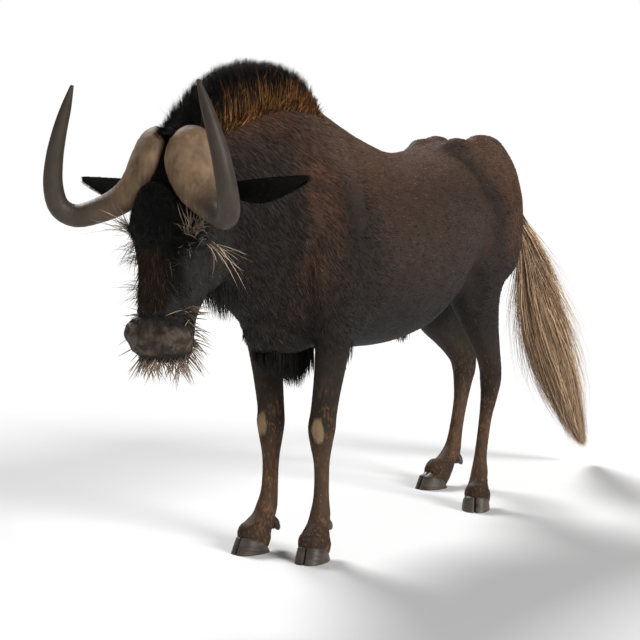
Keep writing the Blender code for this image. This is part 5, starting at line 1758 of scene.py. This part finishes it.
def earObject(side, s):
    # cupped sections: half an oval for the back and a shallower one for the inside
    rings = []
    a = np.linspace(0, np.pi, s["sides"])
    b = np.linspace(np.pi, 0, s["sides"])[1:-1]
    for x, y, z, tall, deep in smoothRows(earPath, 7):
        outer = np.stack([np.full_like(a, x), y + deep * np.sin(a), z + tall * np.cos(a)], axis=1)
        hollow = deep * np.interp(x, (0.075, 0.105), (-0.5, s["hollow"]))
        inside, lip = y - 0.0010 + hollow * np.sin(b), z + tall * s["lip"] * np.cos(b)
        rings.append(np.vstack([outer, np.stack([np.full_like(b, x), inside, lip], axis=1)]))
    obj = gridObject("ear" + hand[side].title(), np.array(rings) * flipped(side))
    co = coords(obj)
    tone = np.array(s["tone"]) * (1 + 0.3 * noise(co, 0.01, 91))[:, None]
    speck = ramp(noise(co, (0.004, 0.004, 0.003), 92), 0.50, 0.80) * ramp(np.abs(co[:, 0]), 0.12, 0.20)
    setColour(obj, tone + (np.array(s["speck"]) - tone) * (0.5 * speck)[:, None])
    obj.data.materials.append(earMat)
    shadeSmooth(obj)
    return obj


def earMaterial():
    mat, shader, start, place, _ = coatMaterial("ear", 0.75, 0.15, 0.6)
    bump(start, grain(start, place, 300.0, (0.3, 1.0, 1.0), 4.0), 0.7, 0.002, shader)
    return mat


earMat = earMaterial()
ears = [earObject(1, earLook), earObject(-1, earLook)]
earHairLook = {
    "count": 2200,
    "seed": 95,
    "edgeShare": 0.45,
    "reach": (0.006, 0.013),
    "width": 0.0007,
    "tone": (0.0050, 0.0042, 0.0038),
    "fleck": (0.040, 0.024, 0.014),
}


def earHair(side, s):
    # short hair along both edges and over the back of the ear
    chance = np.random.default_rng(s["seed"] + side)
    n = int(s["count"] * share)
    rows = smoothRows(earPath, 7)
    x = chance.uniform(0.085, 0.318, n)
    y, z, tall, deep = (np.interp(x, rows[:, 0], rows[:, c]) for c in range(1, 5))
    a = chance.uniform(0, np.pi, n)
    edge = chance.random(n) < s["edgeShare"]
    a = np.where(edge, np.where(chance.random(n) < 0.5, 0.06, np.pi - 0.06), a)
    root = np.stack([x, y + deep * np.sin(a), z + tall * np.cos(a)], axis=1)
    normal = unit(np.stack([np.zeros(n), np.sin(a) * 0.6 + 0.1, np.cos(a)], axis=1))
    outwards = np.stack([np.full(n, 1.0), -0.1 * edge, np.zeros(n)], axis=1)
    heading = unit(outwards + normal * 0.25 + chance.normal(0, 0.10, (n, 3)))
    flip = flipped(side)
    length = chance.uniform(*s["reach"], n)
    path = bentPath(root * flip, heading * flip, length, -normal * flip * 0.12, 2)
    base = eachRow(s["tone"], n)
    base[chance.random(n) < 0.10] = s["fleck"]
    rgb = shades(base, n, 2, 0.4, 1.2, s["seed"] + 2)
    name, width = f"ear_hair_{hand[side]}", np.full(n, s["width"])
    return strandMesh(name, path, normal * flip, width, width * 0.6, rgb, coatMat)


earHairs = earHair(1, earHairLook) + earHair(-1, earHairLook)
print("horns and ears")

# eyes and lids
eyeLook = {
    "iris": (0.030, 0.012, 0.005),
    "pupil": (0.0010, 0.0010, 0.0012),
    "white": (0.10, 0.085, 0.075),
    "pupilEdge": (0.86, 0.90),  # heights along the axis, as shares of the radius
    "irisEdge": (0.55, 0.62),
}


def ballRings(long, wide, rows, sides):
    # cos(a) long + sin(a) (cos(b) wide + sin(b) other), from near one pole to the other
    a = np.linspace(0, np.pi, rows)[1:-1]
    b = np.linspace(0, 2 * np.pi, sides, endpoint=False)
    girdle = np.cos(b)[None, :, None] * wide[0] + np.sin(b)[None, :, None] * wide[1]
    return np.cos(a)[:, None, None] * long + np.sin(a)[:, None, None] * girdle


def eyeAxes(side):
    axis = eyeAxis(side)
    up = unit(np.array((0, 0, 1.0)) - axis * axis[2])
    return axis, np.cross(up, axis), up


def eyeObject(side, s):
    axis, across, up = eyeAxes(side)
    ball = ballRings(axis, (across, up), 40, 48) * eye["radius"]
    obj = gridObject("eye" + hand[side].title(), ball + eyeCentre(side))
    facesOut(obj)
    co = coords(obj) - eyeCentre(side)
    out = co @ axis / eye["radius"]
    tone = np.array(s["iris"]) * (1 + 0.4 * noise(co, 0.002, 99))[:, None]
    tone = mix(tone, np.array(s["pupil"]), ramp(out, *s["pupilEdge"]))
    tone = mix(tone, np.array(s["white"]), 1 - ramp(out, *s["irisEdge"]))
    setColour(obj, tone)
    obj.data.materials.append(eyeMat)
    shadeSmooth(obj)
    return obj


def eyeMaterial():
    mat, shader, start, _ = newMaterial("eye", 0.06, 0.6)
    feed(start, meshColour(start), shader.inputs["Base Color"])
    return mat


eyeMat = eyeMaterial()
eyes = [eyeObject(1, eyeLook), eyeObject(-1, eyeLook)]
lidLook = {
    "opening": (0.0128, 0.0050),  # half width and half height
    "outline": (0.0225, 0.0190),
    "over": (0.0004, 0.0017, 0.0023, 0.0025, 0.0024, 0.0020, 0.0014),  # height over the eyeball, ring by ring
    "sides": 48,
    "thick": 0.0012,
    "tone": (0.0050, 0.0042, 0.0040),
}


def lidObject(side, s):
    # a ring from an almond opening on the eyeball out under the skin
    axis, across, up = eyeAxes(side)
    turn = np.linspace(0, 2 * np.pi, s["sides"], endpoint=False)
    rings = []
    for t, over in zip(np.linspace(0, 1, len(s["over"])), s["over"]):
        wide, high = (small + (large - small) * t for small, large in zip(s["opening"], s["outline"]))
        u = wide * np.cos(turn)
        v = high * np.sign(np.sin(turn)) * np.abs(np.sin(turn)) ** 1.25 - 0.0012 * (1 - t)
        flat = np.hypot(u, v)
        sphere = eye["radius"] + over + 0.010 * t
        lift = np.sqrt(np.clip(sphere**2 - flat**2, 1e-6, None)) - 0.010 * t
        rings.append(eyeCentre(side) + np.outer(u, across) + np.outer(v, up) + np.outer(lift, axis))
    obj = gridObject("lid" + hand[side].title(), rings, closeEnds=False)
    thick = obj.modifiers.new("thick", "SOLIDIFY")
    thick.thickness = s["thick"]
    thick.offset = -1 if side > 0 else 1
    applyAll(obj)
    shadeSmooth(obj)
    setColour(obj, eachRow(s["tone"], len(obj.data.vertices)))
    obj.data.materials.append(lidMat)
    return obj


lidMat = coatMaterial("lid", 0.55, 0.35, 0.3)[0]
fleshPieces += [lidObject(1, lidLook), lidObject(-1, lidLook)]
print("eyes and lids")

# hooves and dewclaws
hoof = {
    "long": 0.104,
    "wide": 0.039,
    "tall": 0.043,
    "cleft": 0.0022,
    "ahead": 0.014,  # its middle before the limb's last row
    "dewDrop": {"fore_right": 0.050},  # below the fetlock
    "otherDewDrop": 0.032,
    "dewBack": 0.021,
    "dewAside": 0.014,
    "dewLong": 0.016,
    "dewWide": 0.0090,
    "dark": (0.030, 0.024, 0.019, 1),
    "pale": (0.105, 0.082, 0.062, 1),
    "edge": 50,  # degrees past which an edge stays sharp
}


def clawObject(name, centre, toe, outward, s):
    # one outline, flat along the cleft and round outside, raised in rings that lean back and draw in
    half = s["cleft"] / 2
    back, rim = 0.42 * s["long"], 0.93  # the heel, and the ring where the wall ends and the top closes
    k = np.linspace(-0.42, 0.50, 12) * s["long"]
    inner = np.stack([k, half + 0.003 * np.maximum(k, 0) / s["long"]], axis=1)
    a = np.linspace(0, np.pi, 38)[1:-1]
    reach = np.where(np.cos(a) > 0, 0.52, 0.46) * s["long"]
    outer = np.stack([reach * np.cos(a), half + s["wide"] * np.sin(a) ** 0.75], axis=1)
    edge = np.vstack([inner, outer])
    rings = []
    for t in np.linspace(0, 1, 16):
        squeeze = np.interp(t, (0, 0.04, 0.35, 0.8, rim, 1.0), (0.97, 1.0, 0.985, 0.93, 0.86, 0.55))
        up = min(t / rim, 1.0)
        lift = 0.006 * max(0.0, (t - rim) / (1 - rim))
        height = s["tall"] * (0.70 + 0.60 * edge[:, 0] / s["long"]) * up + lift
        pull = squeeze if t > rim else 1.0
        along = (edge[:, 0] + back) * (1 - 0.30 * up) * pull - back + 0.01 * up + 2 * lift
        aside = half + (edge[:, 1] - half) * squeeze + lift
        groove = 0.0002 * np.sin(t * 24)
        level = np.outer(along + groove, toe) + np.outer(aside + groove, outward)
        rings.append(np.array(centre) + level + np.outer(height, (0, 0, 1)))
    return gridObject(name, rings)


def dewclawObject(name, place, toe, outward, s):
    # an egg that hangs down and back
    down = unit(np.array((0, 0, -1.0)) - toe * 0.45 + outward * 0.15)
    across = unit(np.cross(down, toe))
    girdle = (s["dewWide"] * across, s["dewWide"] * np.cross(down, across))
    return gridObject(name, ballRings(down * -s["dewLong"], girdle, 18, 24) + place)


def hoofMaterial(s):
    mat, shader, start, place = newMaterial("hoof", 0.5, 0.4)
    rings = grain(start, place, 45.0, (0.4, 0.4, 3.0), 4.0)
    blotch = grain(start, place, 30.0)
    mixed = (rings * 0.3 + blotch * 0.7).clamp(0.3, 0.7)
    feed(start, mixed.blend(s["dark"], s["pale"]), shader.inputs["Base Color"])
    feed(start, rings * 0.3 + 0.35, shader.inputs["Roughness"])
    bump(start, rings, 0.4, 0.002, shader)
    return mat


def footPieces(name, limb, steps, side, toeOut, s):
    # the two claws and the two dewclaws of one foot, each with the solid that it stands for
    inward, backward = steps[0][1:] if steps else (0.0, 0.0)
    x, y = limb[-1][0] + 0.002, limb[-1][1] - s["ahead"]
    centre = np.array((side * (x - inward), y + backward, 0.0))
    toe = toeWay(side, toeOut)
    sideways = np.array((math.cos(toeOut), side * math.sin(toeOut), 0.0)) * side
    x, y, z = stepped(limb, steps)[fetlock][:3]
    behind = np.array((side * x, y, z - s["dewDrop"].get(name, s["otherDewDrop"]))) - toe * s["dewBack"]
    made = []
    for label, outward in (("outer", sideways), ("inner", -sideways)):
        claw = clawObject(f"{name}_claw_{label}", centre, toe, outward, s)
        dew = dewclawObject(f"{name}_dew_{label}", behind + outward * s["dewAside"], toe, outward, s)
        made += [(claw, f"{name}_hoof_{label}"), (dew, f"{name}_dewclaw_{label}")]
    return made


hoofMat = hoofMaterial(hoof)
hoofPieces = [pair for limb in limbs for pair in footPieces(*limb, hoof)]
for obj, _ in hoofPieces:
    facesOut(obj)
    shadeSmooth(obj)
    obj.data.set_sharp_from_angle(angle=math.radians(hoof["edge"]))
    obj.data.materials.append(hoofMat)
print("hooves")

# into the frame
legNodes = [f"{limb[0]}_leg_{part}" for limb in limbs for part in ("upper", "lower")]
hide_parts("torso", "rump", "neck", "head", "muzzle", "lower_jaw", "tail_dock", *legNodes)
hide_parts("tail_hair")
pairedNodes = ("horn_left", "horn_right", "ear_left", "ear_right", "eye_left", "eye_right")
for obj, node in zip(horns + ears + eyes, pairedNodes):
    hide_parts(node)
for obj, node in hoofPieces:
    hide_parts(node)
own = [skin, *fleshPieces, *tailPieces, *horns, *ears, *eyes, *earHairs, *(obj for obj, _ in hoofPieces)]
total = 0
for obj in own:
    co = coords(obj)
    co[:, 1] -= centreY
    setCoords(obj, co)
    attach(obj, "root")
    obj.data.calc_loop_triangles()
    total += len(obj.data.loop_triangles)
print("pieces", len(own), "triangles", total)
